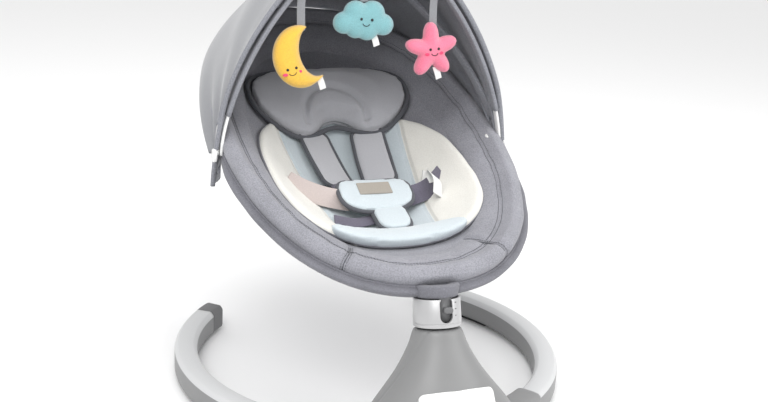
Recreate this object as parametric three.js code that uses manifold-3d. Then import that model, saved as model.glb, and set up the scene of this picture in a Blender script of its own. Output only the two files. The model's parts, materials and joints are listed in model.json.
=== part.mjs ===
// A motorised baby swing: an open ring base with a front pedestal, a leaning stem whose spindle swings an
// oval bucket seat from side to side, a recline pivot under the seat, and a folding canopy with three toys.
// Millimetres. +X is the baby's left, +Y runs from the feet to the head, +Z is up.
// The origin is where the stem's axis meets the floor, on the flat underside of the pedestal.
import * as THREE from "three";
import { mergeVertices } from "three/addons/utils/BufferGeometryUtils.js";
import Module from "manifold-3d";

const wasm = await Module();
wasm.setup();

// ---- Driving dimensions ----
const GAP = 0.35; // clearance between neighbouring pieces
const DEG = Math.PI / 180;

const RING_RADIUS = 279; // centre line of the ring base
const RING_CENTRE_Y = 293;
const LEG_WIDTH = 34;
const LEG_BOTTOM = 6; // height of the leg's underside
const LEG_TOP = 43;
const LEG_START = -61 * DEG; // inside the pedestal's socket, measured from +X
const SOCKET_MOUTH = -53 * DEG;
const LEG_END = 37 * DEG;
const CAP_END = 45 * DEG;

const STEM_LEAN = 14 * DEG;
const STEM_TOP = 179; // distances along the leaning stem
const COLLAR_TOP = 217;
const COLLAR_RADIUS = 32;
const RECLINE_PIVOT = 205;
const SPINDLE_RADIUS = 8;

const SEAT_CENTRE = [0, 391, 361];
const SEAT_RECLINE = 21.3 * DEG;
const RIM_HALF_WIDTH = 209; // seat tube's centre line
const RIM_HALF_LENGTH = 349;
const RIM_POWER = 2.3; // superellipse exponent of the seat's outline
const TUBE_RADIUS = 10;
const TUBE_Z = -8; // below the seat's rim plane
const HINGE_Y = -54; // canopy hinge, along the seat
const HINGE_Z = -6; // level with the middle of the seat tube

const BOW_HEIGHT = 312;
const BOW_HALF_WIDTH = 225.4;
const BOW_POWER = 1.58; // below 2, so the hoop is a little pointed
const BOW_LEAN = 2 * DEG; // backwards from vertical
const REAR_BOW_LEAN = 30 * DEG;

// ---- Materials ----
const finish = (color, roughness, metalness = 0) => new THREE.MeshStandardMaterial({ color, roughness, metalness });
const lightPlastic = finish(0xc4c5c6, 0.45);
const darkPlastic = finish(0x7d7e80, 0.5);
const silverPlastic = finish(0xb8b9ba, 0.35, 0.3);
const whitePlastic = finish(0xe9e8e2, 0.4);
const blackRubber = finish(0x222326, 0.9);
const steel = finish(0x9a9ca0, 0.35, 0.9);
const brassMetal = finish(0xb08d4a, 0.4, 0.9);
const boardGreen = finish(0x2d5a3c, 0.6);
const greyFabric = finish(0x8a8b92, 0.95);
const darkFabric = finish(0x63656b, 0.95);
const creamFabric = finish(0xe4e1d6, 0.95);
const mintFabric = finish(0xc9d3d5, 0.95);
const yellowPlush = finish(0xf0c24a, 0.95);
const bluePlush = finish(0x86b9bd, 0.95);
const pinkPlush = finish(0xf08ba0, 0.95);

// ---- Groups ----
const swing = new THREE.Group();
const stem = new THREE.Group(); // z runs along the leaning stem
stem.rotation.x = -STEM_LEAN;
const seat = new THREE.Group(); // z runs square to the seat's rim
seat.position.set(...SEAT_CENTRE);
seat.rotation.x = SEAT_RECLINE;
swing.add(stem, seat);
swing.updateMatrixWorld(true);

function add(group, name, geometry, material) {
  const mesh = new THREE.Mesh(geometry, material);
  mesh.name = name;
  group.add(mesh);
  return mesh;
}

// ---- Shape helpers ----

// Points of a superellipse, anticlockwise seen from +Z.
function superellipse(halfX, halfY, power, count) {
  return Array.from({ length: count }, (_, i) => {
    const angle = (2 * Math.PI * i) / count;
    const c = Math.cos(angle), s = Math.sin(angle);
    const x = halfX * Math.sign(c) * Math.abs(c) ** (2 / power);
    return new THREE.Vector2(x, halfY * Math.sign(s) * Math.abs(s) ** (2 / power));
  });
}

// Points of a rectangle with rounded corners, anticlockwise, three points to a corner.
function roundedRectangle(width, height, radius, perCorner = 3) {
  const corners = [[1, -1, -90], [1, 1, 0], [-1, 1, 90], [-1, -1, 180]];
  return corners.flatMap(([sx, sy, from]) =>
    Array.from({ length: perCorner }, (_, i) => {
      const angle = (from + (90 * i) / (perCorner - 1)) * DEG;
      const x = sx * (width / 2 - radius) + radius * Math.cos(angle);
      return new THREE.Vector2(x, sy * (height / 2 - radius) + radius * Math.sin(angle));
    }),
  );
}

// Turns a closed skin so that its faces point outwards.
function outward(positions, index) {
  const [a, b, c] = [0, 1, 2].map(() => new THREE.Vector3());
  let volume = 0;
  for (let i = 0; i < index.length; i += 3) {
    [a, b, c].forEach((v, k) => v.fromArray(positions, 3 * index[i + k]));
    volume += a.dot(b.cross(c));
  }
  const geometry = new THREE.BufferGeometry();
  geometry.setAttribute("position", new THREE.Float32BufferAttribute(positions, 3));
  geometry.setIndex(volume < 0 ? index.toReversed() : index);
  return geometry;
}

// A closed skin over rings of points. Open lofts get a flat fan at each end, and closed ones join up.
function loft(rings, closed = false) {
  const around = rings[0].length;
  const positions = rings.flat().flatMap((p) => [p.x, p.y, p.z]);
  const index = [];
  const last = closed ? rings.length : rings.length - 1;
  for (let r = 0; r < last; r++)
    for (let i = 0; i < around; i++) {
      const next = (i + 1) % around;
      const above = ((r + 1) % rings.length) * around;
      const a = r * around + i, b = r * around + next;
      index.push(a, b, above + next, a, above + next, above + i);
    }
  if (!closed)
    for (const [ring, flip] of [[rings[0], true], [rings.at(-1), false]]) {
      const start = ring === rings[0] ? 0 : (rings.length - 1) * around;
      const middle = ring.reduce((sum, p) => sum.add(p), new THREE.Vector3()).divideScalar(around);
      const centre = positions.push(middle.x, middle.y, middle.z) / 3 - 1;
      for (let i = 0; i < around; i++) {
        const a = start + i, b = start + ((i + 1) % around);
        index.push(...(flip ? [centre, b, a] : [centre, a, b]));
      }
    }
  return outward(positions, index);
}

// Carries a flat section along a path. Section x runs along side(t), section y along up(t).
function sweep(count, place, section, closed = false) {
  const rings = Array.from({ length: closed ? count : count + 1 }, (_, i) => {
    const { at, side, up, scale = 1 } = place(i / count);
    return section.map((p) => at.clone().addScaledVector(side, p.x * scale).addScaledVector(up, p.y * scale));
  });
  return loft(rings, closed);
}

// The closed outline of the seat at a distance outside the tube's centre line, with its outward normal.
function rimPoint(turn, outward, height) {
  const at = (angle) => {
    const c = Math.cos(angle), s = Math.sin(angle);
    const x = RIM_HALF_WIDTH * Math.sign(c) * Math.abs(c) ** (2 / RIM_POWER);
    return new THREE.Vector2(x, RIM_HALF_LENGTH * Math.sign(s) * Math.abs(s) ** (2 / RIM_POWER));
  };
  const angle = 2 * Math.PI * turn;
  const along = at(angle + 0.02).sub(at(angle - 0.02)).normalize();
  const point = at(angle);
  const normal = new THREE.Vector3(along.y, -along.x, 0);
  return { at: new THREE.Vector3(point.x, point.y, height).addScaledVector(normal, outward), normal };
}

// The solid of a geometry, once moved from its own group into the swing's frame if a mesh is given.
function solid(geometry) {
  const bare = new THREE.BufferGeometry();
  bare.setAttribute("position", geometry.getAttribute("position").clone());
  if (geometry.index) bare.setIndex(geometry.index);
  const merged = mergeVertices(bare, 1e-3);
  const vertProperties = new Float32Array(merged.attributes.position.array);
  return new wasm.Manifold(
    new wasm.Mesh({ numProp: 3, vertProperties, triVerts: new Uint32Array(merged.index.array) }),
  );
}

function fromSolid(manifold) {
  const mesh = manifold.getMesh();
  const geometry = new THREE.BufferGeometry();
  geometry.setAttribute("position", new THREE.BufferAttribute(new Float32Array(mesh.vertProperties), 3));
  geometry.setIndex(new THREE.BufferAttribute(new Uint32Array(mesh.triVerts), 1));
  return geometry;
}

const join = (...geometries) => fromSolid(geometries.map(solid).reduce((a, b) => a.add(b)));
const cut = (from, ...tools) => fromSolid(tools.map(solid).reduce((a, b) => a.subtract(b), solid(from)));
const overlap = (a, b) => fromSolid(solid(a).intersect(solid(b)));

function box(width, depth, height, x = 0, y = 0, z = 0) {
  return new THREE.BoxGeometry(width, depth, height).translate(x, y, z);
}

// A cylinder along Z from one height to another.
function post(radius, from, to, x = 0, y = 0, sides = 24, topRadius = radius) {
  return new THREE.CylinderGeometry(topRadius, radius, to - from, sides)
    .rotateX(Math.PI / 2)
    .translate(x, y, (from + to) / 2);
}

// A cylinder along X.
function crossPin(radius, length, y, z, sides = 16, x = 0) {
  return new THREE.CylinderGeometry(radius, radius, length, sides).rotateZ(Math.PI / 2).translate(x, y, z);
}

const inStem = (geometry) => geometry.applyMatrix4(stem.matrixWorld);

// ---- Ring base ----
const LEG_MIDDLE = (LEG_TOP + LEG_BOTTOM) / 2;
const legSection = (grow = 0) =>
  roundedRectangle(LEG_WIDTH + 2 * grow, LEG_TOP - LEG_BOTTOM + 2 * grow, 6 + grow, 2);

// A stretch of the ring between two angles, with the section's x pointing away from the ring's centre.
function ringSweep(from, to, steps, section, height, mirror = 1, shrink = () => 1) {
  return sweep(steps, (t) => {
    const angle = from + (to - from) * t;
    const out = new THREE.Vector3(mirror * Math.cos(angle), Math.sin(angle), 0);
    const at = new THREE.Vector3(0, RING_CENTRE_Y, height).addScaledVector(out, RING_RADIUS);
    return { at, side: out.clone().multiplyScalar(mirror), up: new THREE.Vector3(0, 0, 1), scale: shrink(t) };
  }, mirror > 0 ? section.toReversed() : section);
}

const PADS = [[26, 6], [-22, 6]]; // each rubber pad's angle along its leg and half length, in degrees
function legs() {
  for (const [label, mirror] of [["left", 1], ["right", -1]]) {
    add(swing, `leg_tube_${label}`, ringSweep(LEG_START, LEG_END, 16, legSection(), LEG_MIDDLE, mirror), lightPlastic);
    const rounding = (t) => 1 - 0.16 * t ** 4;
    const capStart = LEG_END + GAP / RING_RADIUS;
    const cap = ringSweep(capStart, CAP_END, 5, legSection(), LEG_MIDDLE, mirror, rounding);
    add(swing, `leg_cap_${label}`, cap, darkPlastic);
    PADS.forEach(([middle, half], i) => {
      const section = roundedRectangle(22, LEG_BOTTOM - GAP, 2, 2);
      const from = (middle - half) * DEG, to = (middle + half) * DEG;
      const pad = ringSweep(from, to, 3, section, (LEG_BOTTOM - GAP) / 2, mirror);
      add(swing, `leg_pad_${label}_${i ? "front" : "rear"}`, pad, blackRubber);
    });
  }
}

// ---- Pedestal ----
// Distance along the stem, half width and half depth of the flared housing.
const FLARE = [
  [-60, 146, 96], [-20, 141, 94], [20, 133, 88], [50, 116, 80], [80, 94, 70],
  [100, 75, 60], [132, 52, 46], [160, 37.5, 36], [STEM_TOP - GAP, 33, 33],
];
const WALL = 4;
const SHELL_SPLIT_Y = 22;
const FLOOR_PLATE = 5;

function flare(inset, top) {
  const rings = FLARE.map(([s, halfX, halfY], i) => {
    const power = 2 + (0.5 * (FLARE.length - 1 - i)) / (FLARE.length - 1);
    const along = Math.min(s, top);
    return superellipse(halfX - inset, halfY - inset, power, 24).map((p) => new THREE.Vector3(p.x, p.y, along));
  });
  return inStem(loft(rings));
}

const aboveFloor = (height) => box(700, 700, 400, 0, 0, 200 + height);

function panelBlock(grow) {
  const slab = new THREE.ExtrudeGeometry(new THREE.Shape(roundedRectangle(100 + 2 * grow, 66 + 2 * grow, 8)), {
    depth: 6 + 2 * grow,
    bevelEnabled: false,
  }).translate(0, 0, -3 - grow);
  slab.rotateX(Math.PI / 2 - 22 * DEG).translate(0, -70.5, 72);
  return inStem(slab);
}

function pedestal() {
  const wingFrom = SOCKET_MOUTH, wingTo = -Math.PI - SOCKET_MOUTH;
  const wingOuter = ringSweep(wingFrom, wingTo, 12, roundedRectangle(43, 62, 12, 2), 18);
  const wingInner = ringSweep(wingFrom - 11 * DEG, wingTo + 11 * DEG, 10, roundedRectangle(35, 52, 10, 2), 14);
  const body = overlap(join(flare(0, STEM_TOP - GAP), wingOuter), aboveFloor(FLOOR_PLATE + GAP));
  const hollow = join(flare(WALL, STEM_TOP - WALL), wingInner);
  const tools = [hollow, inStem(post(24.5, 145, 195))];
  for (const mirror of [1, -1]) {
    const from = LEG_START - 0.3 * DEG, to = SOCKET_MOUTH + 3 * DEG;
    tools.push(ringSweep(from, to, 5, legSection(GAP + 0.4), LEG_MIDDLE, mirror));
  }
  const socketHole = new THREE.CylinderGeometry(6.5, 6.5, 60, 16).translate(0, 110, 24);
  const shell = cut(body, ...tools, panelBlock(GAP), socketHole);
  const half = (sign) => box(700, 400, 500, 0, SHELL_SPLIT_Y + sign * (200 + GAP / 2), 200);
  add(swing, "pedestal_front_shell", overlap(shell, half(-1)), darkPlastic);
  add(swing, "pedestal_rear_shell", overlap(shell, half(1)), darkPlastic);
  add(swing, "control_panel", panelBlock(0), whitePlastic);

  // The floor plate closes the housing from below and stands on the floor.
  const outline = overlap(join(flare(1, STEM_TOP), ringSweep(wingFrom, wingTo, 16, roundedRectangle(38, 60, 8, 2), 18)),
    box(700, 700, FLOOR_PLATE, 0, 0, FLOOR_PLATE / 2));
  const screwHoles = SCREWS.map(([x, y]) => join(post(3.4, 1.2, 20, x, y, 12), post(5.2, -5, 3, x, y, 12)));
  add(swing, "floor_plate", cut(outline, ...screwHoles), darkPlastic);
  SCREWS.forEach(([x, y], i) => {
    const screw = join(post(4.6, 0.6, 2.6, x, y, 12), post(2.2, 2.4, 11, x, y, 10));
    add(swing, `floor_plate_screw_${i + 1}`, screw, steel);
  });
  const socket = new THREE.CylinderGeometry(6, 6, 16, 16).translate(0, 98, 24);
  add(swing, "power_socket", cut(socket, new THREE.CylinderGeometry(3, 3, 12, 12).translate(0, 102, 24)), blackRubber);
}
const SCREWS = [[80, -20], [-80, -20], [60, 50], [-60, 50]];

// ---- Drive inside the pedestal ----
const MODULE = 2; // gear tooth size
const SECTOR_TEETH = 30;
const PINION_TEETH = 8;
const GEAR_FROM = 46, GEAR_TO = 54;
const MOTOR_Y = (MODULE * (SECTOR_TEETH + PINION_TEETH)) / 2;

// A gear of slim straight-sided teeth on a disc, over part of the circle or all of it.
function gear(teeth, fromTooth, toTooth, phase, hubRadius, x, y) {
  const pitch = (MODULE * teeth) / 2;
  const root = pitch - 1.25 * MODULE, tip = pitch + 0.7 * MODULE;
  const shape = new THREE.Shape();
  const point = (radius, angle) => [radius * Math.sin(angle), radius * Math.cos(angle)];
  const step = (2 * Math.PI) / teeth;
  const outline = [];
  for (let k = fromTooth; k <= toTooth; k++) {
    const middle = k * step + phase;
    for (const [radius, share] of [[root, -0.28], [tip, -0.11], [tip, 0.11], [root, 0.28]])
      outline.push(point(radius, middle + share * step));
  }
  if (toTooth - fromTooth + 1 < teeth) outline.push([hubRadius, -hubRadius], [-hubRadius, -hubRadius]);
  outline.forEach(([px, py], i) => (i ? shape.lineTo(px, py) : shape.moveTo(px, py)));
  shape.closePath();
  return new THREE.ExtrudeGeometry(shape, { depth: GEAR_TO - GEAR_FROM, bevelEnabled: false })
    .translate(x, y, GEAR_FROM);
}

function drive() {
  const bore = post(SPINDLE_RADIUS + 0.2, 0, 300);
  const tower = [
    post(23.5, 100, 175, 0, 0, 28),
    box(84, 66, 6, 0, 6, 101),
    box(84, 84, 6, 0, 12, 38),
    box(9, 26, 140, 37, 8, 34),
    box(9, 26, 140, -37, 8, 34),
  ];
  const bearingSeats = [post(13, 34, 42.5), post(13, 97, 185)];
  const chassis = cut(inStem(join(...tower)), ...bearingSeats.map(inStem), box(600, 600, 200, 0, 0, FLOOR_PLATE + GAP - 100));
  const motorHole = inStem(post(14.6, 90, 120, 0, MOTOR_Y));
  add(swing, "drive_chassis", cut(chassis, motorHole), steel);
  for (const [label, from, to] of [["lower", 35, 41.5], ["upper", 160, 173]])
    add(stem, `${label}_bush`, cut(post(13 - GAP, from, to), bore.clone()), brassMetal);
  add(stem, "spindle", join(post(SPINDLE_RADIUS, 26, 188), post(20, 180.6, 183.4)), steel);
  add(stem, "spindle_clip", cut(post(12, 28, 31), post(SPINDLE_RADIUS + GAP, 20, 40)), steel);
  const sector = gear(SECTOR_TEETH, -5, 5, 0, 14, 0, 0);
  add(stem, "sector_gear", cut(sector, post(SPINDLE_RADIUS + GAP, 20, 80)), steel);
  const pinion = gear(PINION_TEETH, 0, PINION_TEETH - 1, Math.PI + Math.PI / PINION_TEETH, 3, 0, MOTOR_Y);
  add(stem, "motor_pinion", cut(pinion, post(2.3, 40, 60, 0, MOTOR_Y, 12)), brassMetal);
  const motor = join(post(14, 58, 96, 0, MOTOR_Y), post(2, 44, 60, 0, MOTOR_Y, 12));
  add(stem, "drive_motor", motor, steel);
  add(stem, "circuit_board", box(76, 2, 46, 0, -46, 70), boardGreen);
  add(stem, "speaker", post(17, 34, 46, 74, -12, 24, 13), blackRubber);
}

// ---- Collar and recline joint ----
const SLOT_WIDTH = 18;
const SLOT_BOTTOM = 187;
const SLOT_TOP = 213;

// A rounded slot through the collar's front wall, along the stem.
function slotBlock(width, from, to, nearY, farY) {
  const shape = new THREE.Shape();
  const r = width / 2;
  shape.moveTo(-r, from + r);
  shape.absarc(0, from + r, r, Math.PI, 2 * Math.PI, false);
  shape.lineTo(r, to - r);
  shape.absarc(0, to - r, r, 0, Math.PI, false);
  return new THREE.ExtrudeGeometry(shape, { depth: farY - nearY, bevelEnabled: false, curveSegments: 8 })
    .rotateX(Math.PI / 2)
    .translate(0, farY, 0);
}

function collar() {
  const outside = post(COLLAR_RADIUS, STEM_TOP + 0.6, COLLAR_TOP, 0, 0, 36, COLLAR_RADIUS - 1);
  const inside = post(COLLAR_RADIUS - 3.5, STEM_TOP + 6, COLLAR_TOP + 5, 0, 0, 32);
  const lugs = [23, -23].map((x) => box(5, 18, 30, x, 0, 199));
  const cup = join(cut(outside, inside), overlap(join(...lugs), post(31, 150, 250)));
  const hub = join(post(SPINDLE_RADIUS + GAP, 150, 250), post(20.4, 175, 183.8));
  const pinHole = crossPin(3.2, 80, 0, RECLINE_PIVOT);
  add(stem, "collar", cut(cup, hub, pinHole, slotBlock(SLOT_WIDTH, SLOT_BOTTOM, SLOT_TOP, -40, -20)), silverPlastic);
  const bezel = overlap(slotBlock(SLOT_WIDTH - 2 * GAP, SLOT_BOTTOM + GAP, SLOT_TOP - GAP, -34, -27), post(31.4, 150, 250));
  add(stem, "slider_bezel", cut(bezel, box(9, 20, 17, 0, -30, 200)), darkPlastic);
  const knob = join(box(8, 7, 6, 0, -29.5, 199), box(13, 3.5, 8, 0, -34.4, 199));
  add(stem, "recline_slider", knob, darkPlastic);
  add(stem, "recline_pin", crossPin(3, 52, 0, RECLINE_PIVOT), steel);
}

// Where a point given in the stem's frame lies in the seat's frame.
function stemToSeat(x, y, along) {
  return seat.worldToLocal(stem.localToWorld(new THREE.Vector3(x, y, along)));
}

function tubeSweep(radius, fromTurn, toTurn, steps, sides, drop = 0) {
  const section = superellipse(radius, radius, 2, sides).toReversed();
  const place = (t) => {
    const { at, normal } = rimPoint(fromTurn + (toTurn - fromTurn) * t, 0, TUBE_Z - drop);
    return { at, side: normal, up: new THREE.Vector3(0, 0, 1) };
  };
  return sweep(steps, place, section, Math.abs(toTurn - fromTurn) > 0.999);
}

function seatFrame() {
  const splitTurn = 0.0308; // the tubes meet at the canopy hinges, this far below the seat's widest line
  const gap = 0.0003;
  add(seat, "seat_tube_front", tubeSweep(TUBE_RADIUS, 0.5 + splitTurn + gap, 1 - splitTurn - gap, 24, 8), steel);
  add(seat, "seat_tube_rear", tubeSweep(TUBE_RADIUS, -splitTurn + gap, 0.5 + splitTurn - gap, 28, 8), steel);
  const pivot = stemToSeat(0, 0, RECLINE_PIVOT);
  const neckTop = new THREE.Vector3(0, -RIM_HALF_LENGTH, TUBE_Z);
  const reach = neckTop.clone().sub(pivot);
  const neck = box(34, 20, reach.length() + 6)
    .translate(0, 0, reach.length() / 2 - 3)
    .rotateX(-Math.atan2(reach.y, reach.z))
    .translate(pivot.x, pivot.y, pivot.z);
  const barrel = crossPin(9, 34, pivot.y, pivot.z, 20);
  const saddle = box(96, 32, 22, 0, -RIM_HALF_LENGTH + 4, TUBE_Z);
  const pinBore = crossPin(3.2, 80, pivot.y, pivot.z);
  const bracket = cut(join(neck, barrel, saddle), pinBore, tubeSweep(TUBE_RADIUS + GAP + 0.5, 0, 1, 120, 16));
  add(seat, "seat_bracket", bracket, darkPlastic);
}

// ---- Fabric seat ----
const BUCKET_SEGMENTS = 36;

// A bowl hung from the rim, turned like a lathe profile: each row holds how far in it reaches (1 at the rim),
// how far outside the tube's centre line it starts, and its height there. Rows run from pole to pole.
const BUCKET_DROP = 102;
const BUCKET_POWER = 1.75;
const BUCKET_SHIFT = -20;
function bucketPoint(turn, share, outward, height, lift) {
  const { at } = rimPoint(turn, outward, 0);
  const y = at.y * share + BUCKET_SHIFT * (1 - share * share);
  const depth = (1 - share ** BUCKET_POWER) * BUCKET_DROP;
  return new THREE.Vector3(at.x * share, y, height - depth + lift * (1 - share ** 4));
}

function bowl(rows) {
  const rings = rows.map(([share, outward, height, lift]) =>
    Array.from({ length: BUCKET_SEGMENTS }, (_, i) => bucketPoint(i / BUCKET_SEGMENTS, share, outward, height, lift)),
  );
  return loft(rings);
}

function seatFabric() {
  // Under the bowl, round the outside of the rim roll, over it and down the inside.
  const clear = TUBE_RADIUS + 1.5;
  const rows = [
    [0.05, -clear - 3, TUBE_Z - 6, 0], [0.35, -clear - 3, TUBE_Z - 6, 0], [0.55, -clear - 3, TUBE_Z - 6, 0],
    [0.74, -clear - 3, TUBE_Z - 6, 0], [0.9, -clear - 3, TUBE_Z - 6, 0], [1, -clear - 3, TUBE_Z - 8, 0], [1, -clear, TUBE_Z - 8, 0],
    [1, -clear, TUBE_Z + 6, 0], [1, -4, TUBE_Z + clear, 0], [1, 4, TUBE_Z + clear, 0], [1, clear, TUBE_Z + 6, 0],
    [1, clear, TUBE_Z - 8, 0], [1, clear + 5, TUBE_Z - 9, 0], [1, clear + 8, TUBE_Z, 0], [1, clear + 3, TUBE_Z + 13, 0],
    [1, 2, TUBE_Z + 19, 0], [1, -clear - 4, TUBE_Z + 16, 0], [0.93, -clear - 6, TUBE_Z + 8, 0],
    [0.85, -clear - 6, TUBE_Z + 4, 0], [0.8, -clear - 6, TUBE_Z + 4, 0], [0.7, -clear - 6, TUBE_Z + 4, 0],
    [0.55, -clear - 6, TUBE_Z + 4, 0], [0.4, -clear - 6, TUBE_Z + 4, 0], [0.25, -clear - 6, TUBE_Z + 4, 0],
    [0.05, -clear - 6, TUBE_Z + 4, 0],
  ];
  const pivot = stemToSeat(0, 0, RECLINE_PIVOT);
  const room = box(102, 60, 60, 0, -RIM_HALF_LENGTH - 4, TUBE_Z - 30 + 12);
  const hingeRooms = [1, -1].map((sign) => box(60, 62, 90, sign * 210, HINGE_Y, 8));
  const foldRooms = [1, -1].map((sign) => box(40, 164, 90, sign * 238.8, HINGE_Y + 50, 8));
  const cover = cut(bowl(rows), room, box(110, 70, 60, 0, pivot.y, pivot.z - 26), ...hingeRooms, ...foldRooms);
  add(seat, "seat_cover", cover, greyFabric);
  const lining = [
    [0.05, -17.5, 0, 0], [0.25, -17.5, 0, 0], [0.4, -17.5, 0, 0], [0.55, -17.5, 0, 0], [0.7, -17.5, 0, 0],
    [0.8, -17.5, 1, 0], [0.85, -17.5, 5, 0], [0.82, -17.5, 13, 0], [0.7, -17.5, 13, 0], [0.55, -17.5, 13, 0],
    [0.4, -17.5, 13, 0], [0.25, -17.5, 13, 0], [0.05, -17.5, 13, 0],
  ];
  add(seat, "seat_liner", bowl(lining), creamFabric);
}


// ---- Soft pieces that lie in the seat ----
const LINER_INSET = -17.5, LINER_TOP = 13;

// How far down the lining's upper face lies under a point of the seat.
function linerHeight(x, y) {
  const half = [RIM_HALF_WIDTH + LINER_INSET, RIM_HALF_LENGTH + LINER_INSET];
  let low = 0.02, high = 1;
  for (let i = 0; i < 30; i++) {
    const share = (low + high) / 2;
    const across = Math.abs(x / (half[0] * share));
    const along = Math.abs((y - BUCKET_SHIFT * (1 - share * share)) / (half[1] * share));
    if (across ** RIM_POWER + along ** RIM_POWER > 1) low = share;
    else high = share;
  }
  return LINER_TOP - (1 - low ** BUCKET_POWER) * BUCKET_DROP;
}

// A pad that follows the lining: an oval in plan, thin at its edge, its underside held a little above.
function pad(name, material, x, y, width, length, thickness, lift, power = 3, turn = 0, count = 20) {
  const rings = [];
  const ring = (share, height) => superellipse((width / 2) * share, (length / 2) * share, power, count).map((p) => {
    const px = x + p.x * Math.cos(turn) - p.y * Math.sin(turn);
    const py = y + p.x * Math.sin(turn) + p.y * Math.cos(turn);
    return new THREE.Vector3(px, py, linerHeight(px, py) + height);
  });
  for (const share of [0.1, 0.55, 0.9]) rings.push(ring(share, lift));
  for (const [share, rise] of [[1, 0.4], [0.92, 0.8], [0.55, 1], [0.1, 1.05]])
    rings.push(ring(share, lift + thickness * rise));
  add(seat, name, loft(rings), material);
}

function harness() {
  pad("head_pillow", greyFabric, 0, 146, 280, 162, 26, 6, 3);
  for (const [label, sign] of [["left", 1], ["right", -1]]) {
    pad(`shoulder_strap_${label}`, darkFabric, sign * 44, -12, 24, 92, 1.8, 5, 8, sign * -0.1, 16);
    pad(`shoulder_pad_${label}`, greyFabric, sign * 46, 4, 50, 112, 9, 9.5, 6, sign * -0.1, 16);
    pad(`waist_strap_${label}`, darkFabric, sign * 100, -96, 76, 24, 1.8, 5, 8, 0, 16);
  }
  pad("harness_buckle", darkPlastic, 0, -102, 50, 40, 12, 5, 5, 0, 16);
  pad("waist_pad", mintFabric, 0, -97, 112, 68, 10, 24, 5, 0, 20);
  pad("waist_label", pinkPlush, 0, -88, 50, 22, 1.2, 36, 8, 0, 12);
  pad("crotch_pad", mintFabric, 0, -158, 46, 50, 12, 8, 5, 0, 16);
}

// ---- Canopy ----
const PIN_RADIUS = 4;
const BOW_THICK = 4, BOW_WIDE = 12;

// A hoop's curve: half a superellipse that stands on the hinge line and leans back by an angle.
function hoop(halfWidth, height, lean, share) {
  const c = Math.cos(Math.PI * share), s = Math.sin(Math.PI * share);
  const rise = height * Math.sign(s) * Math.abs(s) ** (2 / BOW_POWER);
  const x = halfWidth * Math.sign(c) * Math.abs(c) ** (2 / BOW_POWER);
  return new THREE.Vector3(x, HINGE_WORLD_Y + rise * Math.sin(lean), HINGE_WORLD_Z + rise * Math.cos(lean));
}

// The hinge line lies across the seat, so it is level whatever the seat's recline.
const hingePoint = seat.localToWorld(new THREE.Vector3(0, HINGE_Y, HINGE_Z));
const HINGE_WORLD_Y = hingePoint.y, HINGE_WORLD_Z = hingePoint.z;

function bow(name, halfWidth, height, lean, material) {
  const section = roundedRectangle(BOW_THICK, BOW_WIDE, 1.5, 2);
  const across = new THREE.Vector3(0, Math.cos(lean), -Math.sin(lean));
  const strip = sweep(22, (t) => {
    const at = hoop(halfWidth, height, lean, t);
    const along = hoop(halfWidth, height, lean, t + 0.01).sub(hoop(halfWidth, height, lean, t - 0.01)).normalize();
    return { at, side: along.clone().cross(across).normalize(), up: across };
  }, section.toReversed());
  const bosses = [1, -1].map((s) => crossPin(11, BOW_THICK, HINGE_WORLD_Y, HINGE_WORLD_Z, 24, s * halfWidth));
  const bore = crossPin(PIN_RADIUS + GAP, 600, HINGE_WORLD_Y, HINGE_WORLD_Z, 20);
  add(swing, name, cut(join(strip, ...bosses), bore), material);
}

function canopyHinges() {
  for (const [label, sign] of [["left", 1], ["right", -1]]) {
    const block = box(31.2, 44, 28, sign * 204.6, HINGE_Y, -10);
    const clearance = tubeSweep(TUBE_RADIUS + 0.65, -0.12, 0.12, 60, 16);
    const mirrored = tubeSweep(TUBE_RADIUS + 0.65, 0.38, 0.62, 60, 16);
    const base = cut(block, clearance, mirrored, crossPin(PIN_RADIUS + GAP, 700, HINGE_Y, HINGE_Z, 20));
    add(seat, `canopy_mount_${label}`, base, whitePlastic);
  }
}

// The skin between two grids of points, closed along its four borders.
function shell(outer, inner) {
  const rows = outer.length, across = outer[0].length;
  const positions = [...outer.flat(), ...inner.flat()].flatMap((p) => [p.x, p.y, p.z]);
  const at = (layer, r, i) => layer * rows * across + r * across + i;
  const index = [];
  const quad = (a, b, c, d) => index.push(a, b, c, a, c, d);
  for (let r = 0; r < rows - 1; r++)
    for (let i = 0; i < across - 1; i++) {
      quad(at(0, r, i), at(0, r, i + 1), at(0, r + 1, i + 1), at(0, r + 1, i));
      quad(at(1, r, i), at(1, r + 1, i), at(1, r + 1, i + 1), at(1, r, i + 1));
    }
  for (let r = 0; r < rows - 1; r++) {
    quad(at(0, r, 0), at(0, r + 1, 0), at(1, r + 1, 0), at(1, r, 0));
    quad(at(0, r + 1, across - 1), at(0, r, across - 1), at(1, r, across - 1), at(1, r + 1, across - 1));
  }
  for (let i = 0; i < across - 1; i++) {
    quad(at(0, 0, i + 1), at(0, 0, i), at(1, 0, i), at(1, 0, i + 1));
    quad(at(0, rows - 1, i), at(0, rows - 1, i + 1), at(1, rows - 1, i + 1), at(1, rows - 1, i));
  }
  return outward(positions, index);
}

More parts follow.
